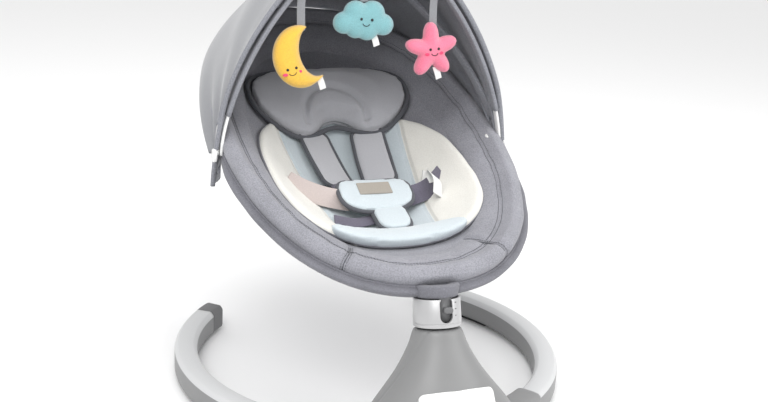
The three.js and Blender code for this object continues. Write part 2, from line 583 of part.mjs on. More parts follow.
const RIM_LEAN = 90 * DEG - SEAT_RECLINE;
function hood() {
  const surface = (grow) => Array.from({ length: 8 }, (_, r) => {
    const t = r / 7;
    const lean = (BOW_LEAN - 1.5 * DEG) * (1 - t) + (RIM_LEAN - 0.05) * t;
    const halfWidth = 237 + 4 * Math.sin(Math.PI * t) + grow;
    const height = BOW_HEIGHT + 12 + (RIM_HALF_LENGTH - HINGE_Y + 26 - BOW_HEIGHT - 12) * t ** 1.5 + 10 * Math.sin(Math.PI * t) + grow;
    const power = 1.66 + 0.64 * t;
    return Array.from({ length: 21 }, (_, i) => {
      const angle = 7 * DEG + (Math.PI - 14 * DEG) * (i / 20);
      const rise = height * Math.sin(angle) ** (2 / power);
      const c = Math.cos(angle);
      const x = halfWidth * Math.sign(c) * Math.abs(c) ** (2 / power);
      return new THREE.Vector3(x, HINGE_WORLD_Y + rise * Math.sin(lean), HINGE_WORLD_Z + rise * Math.cos(lean));
    });
  });
  add(swing, "canopy_hood", shell(surface(1.6), surface(0)), darkFabric);
}

// ---- Toys that hang from the front hoop ----
// Each toy is a flat plush slab that stands in the plane of the hoop, with its middle at the origin.
function plushToy(kind) {
  const disc = (radius, x, z, depth = TOY_DEPTH) =>
    new THREE.CylinderGeometry(radius, radius, depth, 28).translate(x, 0, z);
  if (kind === "moon") return cut(disc(33, 0, 0), disc(24, 17, 7, 60));
  if (kind === "cloud") return join(disc(15, 22, -2), disc(19, 2, 8), disc(15, -22, -3), box(44, TOY_DEPTH, 17, 0, 0, -8.5));
  const star = new THREE.Shape();
  for (let i = 0; i < 10; i++) {
    const angle = (90 + 36 * i) * DEG, radius = i % 2 ? 18 : 35;
    star[i ? "lineTo" : "moveTo"](radius * Math.cos(angle), radius * Math.sin(angle));
  }
  return new THREE.ExtrudeGeometry(star, { depth: TOY_DEPTH, bevelEnabled: false })
    .translate(0, 0, -TOY_DEPTH / 2).rotateX(Math.PI / 2);
}

const TOYS = [["moon", -108, 478, yellowPlush, 33], ["cloud", -12, 531, bluePlush, 27], ["star", 100, 488, pinkPlush, 35]];
const TOY_DEPTH = 20;
function toys() {
  for (const [kind, x, z, material, top] of TOYS) {
    const body = plushToy(kind);
    const share = Math.acos(Math.sign(x) * Math.abs(x / BOW_HALF_WIDTH) ** (BOW_POWER / 2)) / Math.PI;
    const anchor = hoop(BOW_HALF_WIDTH, BOW_HEIGHT, BOW_LEAN, share);
    body.translate(x, anchor.y, z);
    add(swing, `toy_${kind}`, body, material);
    const from = z + top + 0.4, to = anchor.z - 11;
    const tape = box(10, 1.4, to - from, x, anchor.y, (from + to) / 2);
    add(swing, `toy_ribbon_${kind}`, tape, darkFabric);
  }
}

legs();
pedestal();
drive();
collar();
seatFrame();
seatFabric();
harness();
canopyHinges();
bow("front_bow", BOW_HALF_WIDTH, BOW_HEIGHT, BOW_LEAN, whitePlastic);
bow("rear_bow", BOW_HALF_WIDTH + 5.4, BOW_HEIGHT + 2, REAR_BOW_LEAN, whitePlastic);
hood();
toys();
for (const [label, sign] of [["left", 1], ["right", -1]]) {
  const pin = join(crossPin(PIN_RADIUS, 15.4, HINGE_Y, HINGE_Z, 16, sign * 226.7), crossPin(7, 2, HINGE_Y, HINGE_Z, 16, sign * 234.4));
  add(seat, `canopy_pin_${label}`, pin, steel);
}

export default swing;
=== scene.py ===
# %% [markdown]
# # A motorised baby swing
# This lesson dresses a working model of a baby swing: an open ring base, a leaning pedestal, a quilted
# oval seat with its harness and pillow, and a canopy with three plush toys.
# The frame supplies the mechanics, and every visible piece below is shaped in the same metres.
import json
import math
import bmesh
import bpy
from mathutils import Matrix, Vector, noise


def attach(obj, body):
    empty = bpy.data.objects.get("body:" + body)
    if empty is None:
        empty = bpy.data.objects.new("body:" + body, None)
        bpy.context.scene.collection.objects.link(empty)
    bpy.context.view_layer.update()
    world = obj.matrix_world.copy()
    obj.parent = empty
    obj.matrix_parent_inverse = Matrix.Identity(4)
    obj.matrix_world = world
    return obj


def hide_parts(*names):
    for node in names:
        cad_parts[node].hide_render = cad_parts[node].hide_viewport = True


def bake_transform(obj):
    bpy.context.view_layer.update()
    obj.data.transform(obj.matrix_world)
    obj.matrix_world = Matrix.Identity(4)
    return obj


# %% Load the working frame
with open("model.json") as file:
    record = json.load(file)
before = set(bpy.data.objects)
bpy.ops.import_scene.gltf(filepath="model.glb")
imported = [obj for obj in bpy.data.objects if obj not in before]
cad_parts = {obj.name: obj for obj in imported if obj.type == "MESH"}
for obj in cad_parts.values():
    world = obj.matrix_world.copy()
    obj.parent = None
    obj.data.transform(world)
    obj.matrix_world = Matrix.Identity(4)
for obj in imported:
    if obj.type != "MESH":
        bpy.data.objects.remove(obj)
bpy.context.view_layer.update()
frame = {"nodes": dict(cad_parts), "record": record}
print("nodes in the frame:", len(frame["nodes"]))

# %% [markdown]
# The swing is described in two tilted frames. The seat's own frame lies in the plane of its rim, and the
# stem's frame runs along the axis that the seat swings about.

# %% Frames and sizes
SEAT_TILT = math.radians(21.3)
STEM_LEAN = math.radians(14)
SEAT = Matrix.Translation((0, 0.391, 0.361)) @ Matrix.Rotation(SEAT_TILT, 4, "X")
STEM = Matrix.Rotation(-STEM_LEAN, 4, "X")
WORLD = Matrix.Identity(4)
RIM_HALF = (0.209, 0.349)
RIM_POWER = 2.3
BOWL_DEPTH = 0.102
BOWL_POWER = 1.75
BOWL_SHIFT = -0.020
RING_RADIUS, RING_Y = 0.279, 0.293
HINGE = SEAT @ Vector((0, -0.054, -0.006))
print("canopy hinge line:", tuple(round(c, 4) for c in HINGE))

# %% [markdown]
# Materials are written as sums. `Value` wraps one socket of a node tree, so that ordinary arithmetic
# builds maths nodes, and `Recipe` makes every other kind of node by one method.

# %% A small language for materials
class Value:
    def __init__(self, recipe, socket):
        self.recipe, self.socket = recipe, socket

    def maths(self, operation, *others):
        return self.recipe.node("ShaderNodeMath", self, *others, operation=operation)

    def __add__(self, other):
        return self.maths("ADD", other)

    def __sub__(self, other):
        return self.maths("SUBTRACT", other)

    def __mul__(self, other):
        return self.maths("MULTIPLY", other)

    __radd__, __rmul__ = __add__, __mul__

    def sin(self):
        return self.maths("SINE")

    def abs(self):
        return self.maths("ABSOLUTE")

    def power(self, exponent):
        return self.maths("POWER", exponent)

    def ramp(self, low, high):
        """0 below low, 1 above high, and smooth between."""
        node = self.recipe.tree.nodes.new("ShaderNodeMapRange")
        node.interpolation_type = "SMOOTHSTEP"
        self.recipe.tree.links.new(self.socket, node.inputs["Value"])
        node.inputs["From Min"].default_value = low
        node.inputs["From Max"].default_value = high
        return Value(self.recipe, node.outputs["Result"])


class Recipe:
    def __init__(self, name, colour, roughness, metallic=0.0, coat=0.0, sheen=0.0):
        self.material = bpy.data.materials.new(name)
        self.material.use_nodes = True
        self.tree = self.material.node_tree
        self.shader = self.tree.nodes["Principled BSDF"]
        self.colour = colour
        self.set("Base Color", (*colour, 1))
        self.set("Roughness", roughness)
        self.set("Metallic", metallic)
        self.set("Coat Weight", coat)
        self.set("Sheen Weight", sheen)

    def set(self, socket, value):
        if isinstance(value, Value):
            self.tree.links.new(value.socket, self.shader.inputs[socket])
        else:
            self.shader.inputs[socket].default_value = value

    def node(self, kind, *inputs, out=0, **settings):
        node = self.tree.nodes.new(kind)
        for key, value in settings.items():
            if hasattr(node, key):
                setattr(node, key, value)
            else:
                inputs += ((key.replace("_", " "), value),)
        for i, value in enumerate(inputs):
            key = i
            if isinstance(value, tuple) and isinstance(value[0], str):
                key, value = value
            if isinstance(value, Value):
                self.tree.links.new(value.socket, node.inputs[key])
            else:
                node.inputs[key].default_value = value
        return Value(self, node.outputs[out])

    def place(self, which="Object"):
        node = self.tree.nodes.new("ShaderNodeTexCoord")
        return Value(self, node.outputs[which])

    def split(self, vector):
        node = self.tree.nodes.new("ShaderNodeSeparateXYZ")
        self.tree.links.new(vector.socket, node.inputs[0])
        return [Value(self, output) for output in node.outputs]

    def noise(self, scale, detail=2.0, vector=None):
        return self.node("ShaderNodeTexNoise", Scale=scale, Detail=detail, Vector=vector or self.place())

    def blend(self, factor, first, second):
        node = self.tree.nodes.new("ShaderNodeMix")
        node.data_type = "RGBA"
        self.tree.links.new(factor.socket, node.inputs[0])
        for socket, value in ((node.inputs[6], first), (node.inputs[7], second)):
            if isinstance(value, Value):
                self.tree.links.new(value.socket, socket)
            else:
                socket.default_value = (*value, 1)
        return Value(self, node.outputs[2])

    def bump(self, height, distance, strength=1.0):
        node = self.tree.nodes.new("ShaderNodeBump")
        self.tree.links.new(height.socket, node.inputs["Height"])
        node.inputs["Distance"].default_value = distance
        node.inputs["Strength"].default_value = strength
        self.set("Normal", Value(self, node.outputs[0]))


def shade(colour, factor):
    return tuple(min(1.0, c * factor) for c in colour)


def woven(name, colour, thread=0.0016, heather=0.16, bump=0.00025, roughness=0.92, sheen=0.15, fleck=900):
    """A plain weave with flecked yarn: crossing threads, mixed dye and soft wear."""
    recipe = Recipe(name, colour, roughness, sheen=sheen)
    x, y, z = recipe.split(recipe.place())
    turns = 2 * math.pi / thread
    weave = (x * turns).sin() * (y * turns * 0.8 + z * turns * 0.6).sin()
    flecks = recipe.noise(fleck, 3)
    cloud = recipe.noise(14, 3)
    mix = flecks * 0.75 + cloud * 0.25
    recipe.set("Base Color", recipe.blend(mix.ramp(0.36, 0.64), shade(colour, 1 - heather), shade(colour, 1 + heather)))
    recipe.bump(weave * 0.5 + flecks * 1.2 + recipe.noise(160, 3) * 1.6, bump)
    return recipe


def moulded(name, colour, roughness=0.42, grain=0.00003, metallic=0.0, coat=0.0):
    """Moulded plastic: even colour, faint grain and slightly uneven gloss."""
    recipe = Recipe(name, colour, roughness, metallic, coat)
    recipe.set("Roughness", recipe.noise(30, 3) * 0.1 + (roughness - 0.05))
    recipe.bump(recipe.noise(2600, 2), grain)
    return recipe


# %% Mix the finishes
BORDER = woven("heather_border", (0.262, 0.263, 0.292), thread=0.0018, heather=0.2, fleck=640).material
SKIRT = woven("dark_skirt", (0.165, 0.165, 0.187), thread=0.0018, heather=0.22).material
HOOD_OUT = woven("hood_satin", (0.225, 0.229, 0.243), heather=0.07, bump=0.00012, roughness=0.46, sheen=0.3).material
HOOD_IN = woven("hood_lining", (0.225, 0.23, 0.255), thread=0.0022, heather=0.2, fleck=640).material
PILLOW = woven("pillow_velour", (0.39, 0.392, 0.418), heather=0.06, bump=0.00012, sheen=0.5).material
PAD = woven("pad_velour", (0.46, 0.462, 0.488), heather=0.05, bump=0.00012, sheen=0.5).material
PALE = woven("pale_blue_velour", (0.55, 0.61, 0.64), heather=0.06, bump=0.00012, sheen=0.5).material
BINDING = woven("dark_binding", (0.085, 0.088, 0.1), heather=0.15, bump=0.0001).material
WEBBING = woven("webbing", (0.13, 0.12, 0.16), thread=0.0026, heather=0.15).material
BLUSH = woven("blush_webbing", (0.52, 0.45, 0.43), thread=0.0026, heather=0.06).material
LABEL = woven("taupe_label", (0.34, 0.31, 0.27), heather=0.05, bump=0.00008).material
TAG = woven("white_tag", (0.8, 0.8, 0.78), heather=0.03, bump=0.00008).material
YELLOW = woven("yellow_plush", (0.84, 0.5, 0.055), heather=0.1, bump=0.0004, sheen=0.6).material
BLUE = woven("blue_plush", (0.2, 0.43, 0.46), heather=0.1, bump=0.0004, sheen=0.6).material
PINK = woven("pink_plush", (0.85, 0.2, 0.31), heather=0.1, bump=0.0004, sheen=0.6).material
CHEEK = woven("cheek_felt", (0.83, 0.07, 0.17), heather=0.05).material
THREAD = moulded("black_thread", (0.012, 0.012, 0.014), 0.6).material
SILVER = moulded("silver_paint", (0.46, 0.46, 0.465), 0.34, metallic=0.35).material
LEG_TOP = moulded("pale_leg_plastic", (0.55, 0.555, 0.56), 0.38, coat=0.1).material
# Painted shade: the legs' walls are the same pale plastic, painted darker grey as shade where they turn away from the
# light.
LEG_WALL_SHADE = moulded("leg_wall_painted_shade", (0.225, 0.226, 0.228), 0.45).material
CAP = moulded("dark_cap_plastic", (0.135, 0.136, 0.14), 0.5).material
HOUSING = moulded("housing_plastic", (0.212, 0.213, 0.214), 0.42).material
WHITE = moulded("white_plastic", (0.82, 0.82, 0.81), 0.32, coat=0.2).material
DARK = moulded("dark_plastic", (0.07, 0.07, 0.073), 0.45).material
RUBBER = moulded("black_rubber", (0.02, 0.02, 0.021), 0.85).material


def two_tone_liner():
    """The liner's velour: pale blue down the middle, ivory at the sides, with a stitched seam between."""
    recipe = woven("liner_velour", (0.7, 0.69, 0.65), heather=0.04, bump=0.00012, sheen=0.4)
    x, y, z = recipe.split(recipe.place())
    edge = x.abs() + y * -0.129 - 0.0442
    flecks = recipe.noise(700, 3).ramp(0.3, 0.7)
    ivory = recipe.blend(flecks, (0.7, 0.685, 0.635), (0.78, 0.77, 0.72))
    blue = recipe.blend(flecks, (0.47, 0.53, 0.56), (0.54, 0.6, 0.63))
    recipe.set("Base Color", recipe.blend(edge.ramp(-0.0008, 0.0008), blue, ivory))
    seam = edge.abs().ramp(0.0, 0.006)
    recipe.bump(seam * 6.0 + recipe.noise(500, 3) * 0.5, 0.0004)
    return recipe.material


LINER = two_tone_liner()
print("materials:", len(bpy.data.materials))

# %% [markdown]
# Every shape starts as a grid of points or a loop swept along a path. `make` turns the points into a piece
# that rides on one body of the frame and takes the place of the plain solid that stood there.

# %% Mesh helpers
def make(name, verts, faces, materials, body, slot, stands_for=(), place=WORLD, pick=None, smooth=True):
    mesh = bpy.data.meshes.new(name)
    mesh.from_pydata([tuple(v) for v in verts], [], faces)
    mesh.transform(place)
    materials = materials if isinstance(materials, (list, tuple)) else [materials]
    for material in materials:
        mesh.materials.append(material)
    if pick:
        for i, polygon in enumerate(mesh.polygons):
            polygon.material_index = pick(i)
    shell = bmesh.new()
    shell.from_mesh(mesh)
    bmesh.ops.recalc_face_normals(shell, faces=shell.faces)
    shell.to_mesh(mesh)
    shell.free()
    for polygon in mesh.polygons:
        polygon.use_smooth = smooth
    obj = bpy.data.objects.new(name, mesh)
    bpy.context.collection.objects.link(obj)
    if body:
        settle(obj, body, stands_for)
    return obj


def settle(obj, body, stands_for=()):
    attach(obj, body)
    if stands_for:
        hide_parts(*stands_for)


def modified(obj, kind, **settings):
    """Applies one modifier and leaves a plain mesh."""
    modifier = obj.modifiers.new("step", kind)
    for key, value in settings.items():
        setattr(modifier, key, value)
    bpy.context.view_layer.update()
    graph = bpy.context.evaluated_depsgraph_get()
    mesh = bpy.data.meshes.new_from_object(obj.evaluated_get(graph))
    obj.modifiers.clear()
    old, obj.data = obj.data, mesh
    bpy.data.meshes.remove(old)
    mesh.name = obj.name
    for polygon in mesh.polygons:
        polygon.use_smooth = True
    return obj


def grid_faces(rows, columns, wrap_rows=False, wrap_columns=False, start=0):
    faces = []
    for r in range(rows if wrap_rows else rows - 1):
        for c in range(columns if wrap_columns else columns - 1):
            r2, c2 = (r + 1) % rows, (c + 1) % columns
            faces.append((start + r * columns + c, start + r * columns + c2, start + r2 * columns + c2, start + r2 * columns + c))
    return faces


def sweep(points, sides, ups, section, closed=False, cap=True):
    """Carries a flat section (a list of x, y) along points with a side and an up direction at each."""
    verts = []
    for point, side, up, scale in zip(points, sides, ups, [1] * len(points)):
        verts += [Vector(point) + Vector(side) * x + Vector(up) * y for x, y in section]
    faces = grid_faces(len(points), len(section), closed, True)
    if not closed and cap:
        count = len(section)
        faces.append(tuple(range(count)))
        faces.append(tuple(len(verts) - 1 - i for i in range(count)))
    return verts, faces


def rod(points, radius, sides=10, closed=False, flat=1.0):
    """A round cord through the points. The side direction is carried along so that it doesn't twist."""
    points = [Vector(p) for p in points]
    count = len(points)
    side = None
    frames = []
    for i, point in enumerate(points):
        before = points[i - 1] if i or closed else point
        after = points[(i + 1) % count] if i < count - 1 or closed else point
        along = (after - before).normalized()
        if side is None:
            side = along.cross(Vector((0.1, 0.2, 1))).normalized()
        side = (side - along * side.dot(along)).normalized()
        frames.append((side.copy(), along.cross(side)))
    circle = [(radius * math.cos(2 * math.pi * k / sides), radius * flat * math.sin(2 * math.pi * k / sides)) for k in range(sides)]
    return sweep(points, [f[0] for f in frames], [f[1] for f in frames], circle, closed)


def rounded(width, height, radius, steps=5):
    outline = []
    for sx, sy, start in ((1, -1, -90), (1, 1, 0), (-1, 1, 90), (-1, -1, 180)):
        for k in range(steps + 1):
            a = math.radians(start + 90 * k / steps)
            outline.append((sx * (width / 2 - radius) + radius * math.cos(a), sy * (height / 2 - radius) + radius * math.sin(a)))
    return outline


def smoothstep(a, b, x):
    t = min(1.0, max(0.0, (x - a) / (b - a)))
    return t * t * (3 - 2 * t)


def spline(controls, t):
    """A smooth curve through the control rows at 0 to 1."""
    last = len(controls) - 1
    place = min(max(t, 0.0), 1.0) * last
    i = min(int(place), last - 1)
    f = place - i
    rows = [controls[min(max(i + k, 0), last)] for k in (-1, 0, 1, 2)]
    return [
        0.5 * (2 * b + (c - a) * f + (2 * a - 5 * b + 4 * c - d) * f * f + (3 * b - a - 3 * c + d) * f**3)
        for a, b, c, d in zip(*rows)
    ]


# %% [markdown]
# The ring base is two curved legs of one pale plastic. Their tops show that pale colour, and their walls carry painted
# shade in a darker grey, so the section's upper faces get the pale finish and its walls the painted-shade grey.

# %% Legs
def leg_section():
    """Anticlockwise from the lower outside corner; z runs from 6 to 43 mm."""
    half, low, high, crown = 0.017, 0.006, 0.0365, 0.043
    points = [(-half + 0.004, low), (half - 0.004, low), (half - 0.001, low + 0.001), (half, low + 0.004)]
    points += [(half, high - 0.002), (half - 0.0004, high), (half - 0.0014, high + 0.0018), (half - 0.0042, crown - 0.0012), (half - 0.0065, crown)]
    points += [(-half + 0.0065, crown), (-half + 0.0042, crown - 0.0012), (-half + 0.0014, high + 0.0018), (-half + 0.0004, high), (-half, high - 0.002)]
    return points + [(-half, low + 0.004), (-half + 0.001, low + 0.001)]


def ring_path(start, stop, steps, mirror):
    points, sides = [], []
    for k in range(steps + 1):
        a = math.radians(start + (stop - start) * k / steps)
        out = Vector((mirror * math.cos(a), math.sin(a), 0))
        points.append(Vector((0, RING_Y, 0)) + out * RING_RADIUS)
        sides.append(out)
    return points, sides


def legs():
    section = leg_section()
    up = Vector((0, 0, 1))
    top = set(range(5, 13))
    for label, mirror in (("left", 1), ("right", -1)):
        points, sides = ring_path(-58, 37.2, 110, mirror)
        verts, faces = sweep(points, sides, [up] * len(points), section)
        # The upper faces keep the pale plastic. The walls and end faces get the painted-shade grey.
        pick = lambda i: 0 if i < 110 * 16 and i % 16 in top else 1
        make(f"leg_{label}", verts, faces, [LEG_TOP, LEG_WALL_SHADE], "base", "light_plastic", (f"leg_tube_{label}",), pick=pick)
        points, sides = ring_path(37.35, 45.4, 26, mirror)
        verts = []
        for k, (point, side) in enumerate(zip(points, sides)):
            end = k / 26
            shrink = 1 - 0.42 * max(0, (end - 0.72) / 0.28) ** 2.6
            verts += [point + side * (x * shrink * 1.012) + up * (0.0245 + (z - 0.0245) * (1 - (1 - shrink) * 0.8) * 1.008) for x, z in section]
        faces = grid_faces(27, 16, False, True) + [tuple(range(16)), tuple(range(27 * 16 - 1, 26 * 16 - 1, -1))]
        make(f"leg_end_{label}", verts, faces, CAP, "base", "grey_plastic", (f"leg_cap_{label}",))


legs()
print("legs done")

# %% [markdown]
# The pedestal is a bell that flares from the collar into two sockets. The bell and the sockets are
# melted together in one fine grid of cubes and then relaxed, which gives the blended moulding.

# %% Pedestal
FLARE = (
    (-0.060, 0.139, 0.092), (-0.020, 0.135, 0.090), (0.020, 0.127, 0.085), (0.050, 0.112, 0.077), (0.080, 0.091, 0.067),
    (0.100, 0.075, 0.059), (0.120, 0.0595, 0.0505), (0.140, 0.0470, 0.0435), (0.160, 0.0375, 0.0365), (0.1775, 0.0325, 0.0325),
)


def superellipse(half_x, half_y, power, count):
    points = []
    for k in range(count):
        c, s = math.cos(2 * math.pi * k / count), math.sin(2 * math.pi * k / count)
        points.append((half_x * math.copysign(abs(c) ** (2 / power), c), half_y * math.copysign(abs(s) ** (2 / power), s)))
    return points


def bell():
    verts, count, rows = [], 96, 60
    for r in range(rows + 1):
        along, half_x, half_y = spline(FLARE, r / rows)
        power = 2.5 - 0.5 * r / rows
        verts += [STEM @ Vector((x, y, along)) for x, y in superellipse(half_x, half_y, power, count)]
    faces = grid_faces(rows + 1, count, False, True)
    faces += [tuple(range(count)), tuple(range(len(verts) - 1, len(verts) - 1 - count, -1))]
    return make("pedestal_housing", verts, faces, HOUSING, None, None)


def pedestal():
    housing = bell()
    section = rounded(0.0415, 0.062, 0.011)
    points, sides = ring_path(-53.2, -126.8, 60, 1)
    arms = make("arms", *sweep([p + Vector((0, 0, 0.0168)) for p in points], sides, [Vector((0, 0, 1))] * 61, section), HOUSING, None, None)
    slab = make("slab", [(x, y, z) for z in (-0.2, 0.0052) for x, y in ((-1, -1), (1, -1), (1, 1), (-1, 1))],
                [(0, 1, 2, 3), (4, 5, 6, 7), (0, 1, 5, 4), (1, 2, 6, 5), (2, 3, 7, 6), (3, 0, 4, 7)], HOUSING, None, None)
    for tool, operation in ((arms, "UNION"), (slab, "DIFFERENCE")):
        modified(housing, "BOOLEAN", object=tool, operation=operation, solver="EXACT")
    modified(housing, "REMESH", mode="VOXEL", voxel_size=0.0024)
    modified(housing, "SMOOTH", factor=0.6, iterations=26)
    for tool in (arms, slab):
        bpy.data.objects.remove(tool)
    mesh = housing.data
    for v in mesh.vertices:
        local = STEM.inverted() @ v.co
        groove = math.exp(-((v.co.y - 0.022) / 0.0012) ** 2) * smoothstep(0.01, 0.03, v.co.z)
        if local.z > 0.174:
            local.z = min(local.z, 0.1778)
        v.co = STEM @ local
        v.co -= v.normal * 0.0009 * groove
        v.co.z = max(v.co.z, 0.0053)
    mesh.materials.clear()
    mesh.materials.append(HOUSING)
    for polygon in mesh.polygons:
        polygon.material_index = 0
    settle(housing, "base", ("pedestal_front_shell", "pedestal_rear_shell"))
    return housing


HOUSE = pedestal()


def control_panel():
    """A plain white panel whose face is bent to follow the bell."""
    place = STEM @ Matrix.Translation((0, -0.0705, 0.072)) @ Matrix.Rotation(math.radians(90 - 22), 4, "X")
    outline = rounded(0.104, 0.070, 0.007, 6)
    rings = []
    for share, height in ((1.0, -0.004), (1.0, 0.0012), (0.985, 0.0022), (0.9, 0.0026), (0.4, 0.003)):
        rings += [place @ Vector((x * share, y * share, height + 0.0035 - 3.2 * (x * share) ** 2)) for x, y in outline]
    count = len(outline)
    faces = grid_faces(5, count, False, True) + [tuple(range(count)), tuple(range(5 * count - 1, 4 * count - 1, -1))]
    make("control_face", rings, faces, WHITE, "base", "white_plastic", ("control_panel",))


control_panel()
print("pedestal points:", len(HOUSE.data.vertices))

# %% [markdown]
# The collar turns with the seat. Its front has a round-ended slot for the recline slider, and three small
# marks beside the slot show the positions.

# %% Collar and recline slider
def lathe(name, profile, material, body, slot, stands_for=(), place=STEM, count=96):
    verts = [(r * math.cos(2 * math.pi * k / count), r * math.sin(2 * math.pi * k / count), z) for r, z in profile for k in range(count)]
    faces = grid_faces(len(profile), count, True, True)
    return make(name, verts, faces, material, body, slot, stands_for, place)


def collar():
    bottom, top = 0.1796, 0.217
    profile = [(0.0285, bottom), (0.0305, bottom), (0.0318, bottom + 0.0006), (0.0322, bottom + 0.0016), (0.0322, bottom + 0.0042),
               (0.0317, bottom + 0.0048), (0.0317, bottom + 0.0056), (0.0322, bottom + 0.0062), (0.0313, top - 0.001), (0.0306, top), (0.0285, top)]
    shell = lathe("collar_shell", profile, SILVER, None, None)
    slot_outline = [(x, z + 0.2035) for x, z in rounded(0.0175, 0.034, 0.0086, 8)]
    tool_verts = [(x, y, z) for y in (-0.045, -0.02) for x, z in slot_outline]
    count = len(slot_outline)
    tool = make("slot_tool", tool_verts, grid_faces(2, count, False, True) + [tuple(range(count)), tuple(range(2 * count - 1, count - 1, -1))],
                DARK, None, None, place=STEM)
    modified(shell, "BOOLEAN", object=tool, operation="DIFFERENCE", solver="EXACT")
    bpy.data.objects.remove(tool)
    for polygon in shell.data.polygons:
        polygon.use_smooth = True
    modified(shell, "EDGE_SPLIT", split_angle=math.radians(38))
    settle(shell, "rotor", ("collar",))
    back = [(x, -0.0272 - 0.0006 * (1 - (x / 0.01) ** 2), z + 0.2035) for x, z in rounded(0.0195, 0.036, 0.009, 8)]
    front = [(x * 0.8, -0.0252, (z - 0.2035) * 0.9 + 0.2035) for x, y, z in back]
    faces = grid_faces(2, count, False, True) + [tuple(range(count)), tuple(range(2 * count - 1, count - 1, -1))]
    make("slot_back", back + front, faces, CAP, "rotor", "grey_plastic", ("slider_bezel",), place=STEM)
    for k in range(3):
        z = 0.2125 - 0.0085 * k
        verts, faces = sweep([(0.0132, -0.0287, z), (0.0156, -0.0276, z)], [Vector((0.44, 0.9, 0))] * 2, [Vector((0, 0, 1))] * 2, rounded(0.0012, 0.0011, 0.0003, 2))
        make(f"position_mark_{k + 1}", verts, faces, DARK, "rotor", "grey_plastic", place=STEM)


def slider():
    knob = rounded(0.0125, 0.0082, 0.0035, 5)
    verts = []
    for share, y in ((1, -0.0290), (1, -0.0345), (0.94, -0.0362), (0.75, -0.0368)):
        verts += [(x * share + 0.0015, y, z * share + 0.2035) for x, z in knob]
    count = len(knob)
    faces = grid_faces(4, count, False, True) + [tuple(range(count)), tuple(range(4 * count - 1, 3 * count - 1, -1))]
    make("recline_lever", verts, faces, CAP, "slider", "grey_plastic", ("recline_slider",), place=STEM)


def neck_cover():
    """The dark sleeve between the collar and the seat, which widens into the seat's underside."""
    profile = [(0.0180, 0.2178), (0.0262, 0.2178), (0.0280, 0.2190), (0.0288, 0.2230), (0.0300, 0.2280), (0.0310, 0.2330), (0.0290, 0.2350), (0.0180, 0.2350)]
    lathe("neck_cover", profile, SKIRT, "seat", "dark_fabric", ("seat_bracket",))


collar()
slider()
neck_cover()
print("collar and slider done")

# %% [markdown]
# The seat's outline is a superellipse. A point of the seat is given by how far round it is, how far in
# towards the middle, how far outside the tube's line, and its height over the hanging bowl.

# %% The seat's surface
def rim_point(turn, outward):
    def at(angle):
        c, s = math.cos(angle), math.sin(angle)
        return Vector((RIM_HALF[0] * math.copysign(abs(c) ** (2 / RIM_POWER), c), RIM_HALF[1] * math.copysign(abs(s) ** (2 / RIM_POWER), s)))

    angle = 2 * math.pi * turn
    along = (at(angle + 0.02) - at(angle - 0.02)).normalized()
    return at(angle) + Vector((along.y, -along.x)) * outward


def even_turns(count):
    """Turns at even distances along the rim, starting from the baby's left."""
    fine = [rim_point(k / 2000, 0) for k in range(2001)]
    length = [0.0]
    for a, b in zip(fine, fine[1:]):
        length.append(length[-1] + (b - a).length)
    turns, j = [], 0
    for k in range(count):
        while length[j] < length[-1] * k / count:
            j += 1
        turns.append(j / 2000)
    return turns


def bowl_point(turn, share, outward, height):
    rim = rim_point(turn, outward)
    y = rim.y * share + BOWL_SHIFT * (1 - share * share)
    return Vector((rim.x * share, y, height - BOWL_DEPTH * (1 - min(share, 1.0) ** BOWL_POWER)))


def bowl_height(x, y):
    low, high = 0.02, 1.0
    half = (RIM_HALF[0] - 0.0175, RIM_HALF[1] - 0.0175)
    for _ in range(24):
        share = (low + high) / 2
        across = abs(x / (half[0] * share)) ** RIM_POWER + abs((y - BOWL_SHIFT * (1 - share * share)) / (half[1] * share)) ** RIM_POWER
        low, high = (share, high) if across > 1 else (low, share)
    return -BOWL_DEPTH * (1 - low**BOWL_POWER)


TURNS = even_turns(420)
BORDER_LINE = [
    (1, 0.0130, -0.004), (1, 0.0122, 0.004), (1, 0.0070, 0.0095), (1, -0.0020, 0.0115), (0.985, -0.0050, 0.0112),
    (0.955, -0.0075, 0.0102), (0.92, -0.0100, 0.0090), (0.885, -0.0120, 0.0080), (0.85, -0.0140, 0.0060), (0.82, -0.0150, 0.002),
]
CORNERS = (0.670, 0.830)
RING_SEAM = 0.56


def border_point(turn, t):
    """The quilted band: two puffed channels between stitched rings, pinched across by short creases."""
    share, outward, height = spline(BORDER_LINE, t)
    channel = t / RING_SEAM if t < RING_SEAM else (t - RING_SEAM) / (1 - RING_SEAM)
    puff = max(0.0, math.sin(math.pi * channel)) ** 0.5
    corner = min(abs(turn - c) for c in CORNERS)
    puff *= 1 - 0.95 * math.exp(-((corner / 0.0035) ** 2))
    rim = rim_point(turn, 0)
    ripple = noise.noise(Vector((rim.x * 46, rim.y * 46, t * 2.2)))
    wide = noise.noise(Vector((rim.x * 14, rim.y * 14, 5 + t * 1.3)))
    near_seam = math.exp(-((t - RING_SEAM) / 0.17) ** 2) + 0.7 * math.exp(-((t - 1) / 0.15) ** 2) + 0.5 * math.exp(-(t / 0.16) ** 2)
    rise = 0.0078 * puff + 0.0028 * ripple * near_seam + 0.0014 * wide - 0.0012
    out = 0.7 if t < 0.2 else 0.15
    return bowl_point(turn, share, outward + rise * out, height + rise)


def quilted_border():
    rows = 46
    verts = []
    for turn in TURNS:
        verts += [border_point(turn, r / (rows - 1)) for r in range(rows)]
        inner = [bowl_point(turn, 0.82, -0.016, -0.003), bowl_point(turn, 0.93, -0.014, -0.004), bowl_point(turn, 1, -0.004, 0.0035), bowl_point(turn, 1, 0.0095, -0.004)]
        verts += inner
    faces = grid_faces(len(TURNS), rows + 4, True, True)
    return make("quilted_border", verts, faces, BORDER, "seat", "grey_fabric", ("seat_cover", "seat_tube_front", "seat_tube_rear"), SEAT)


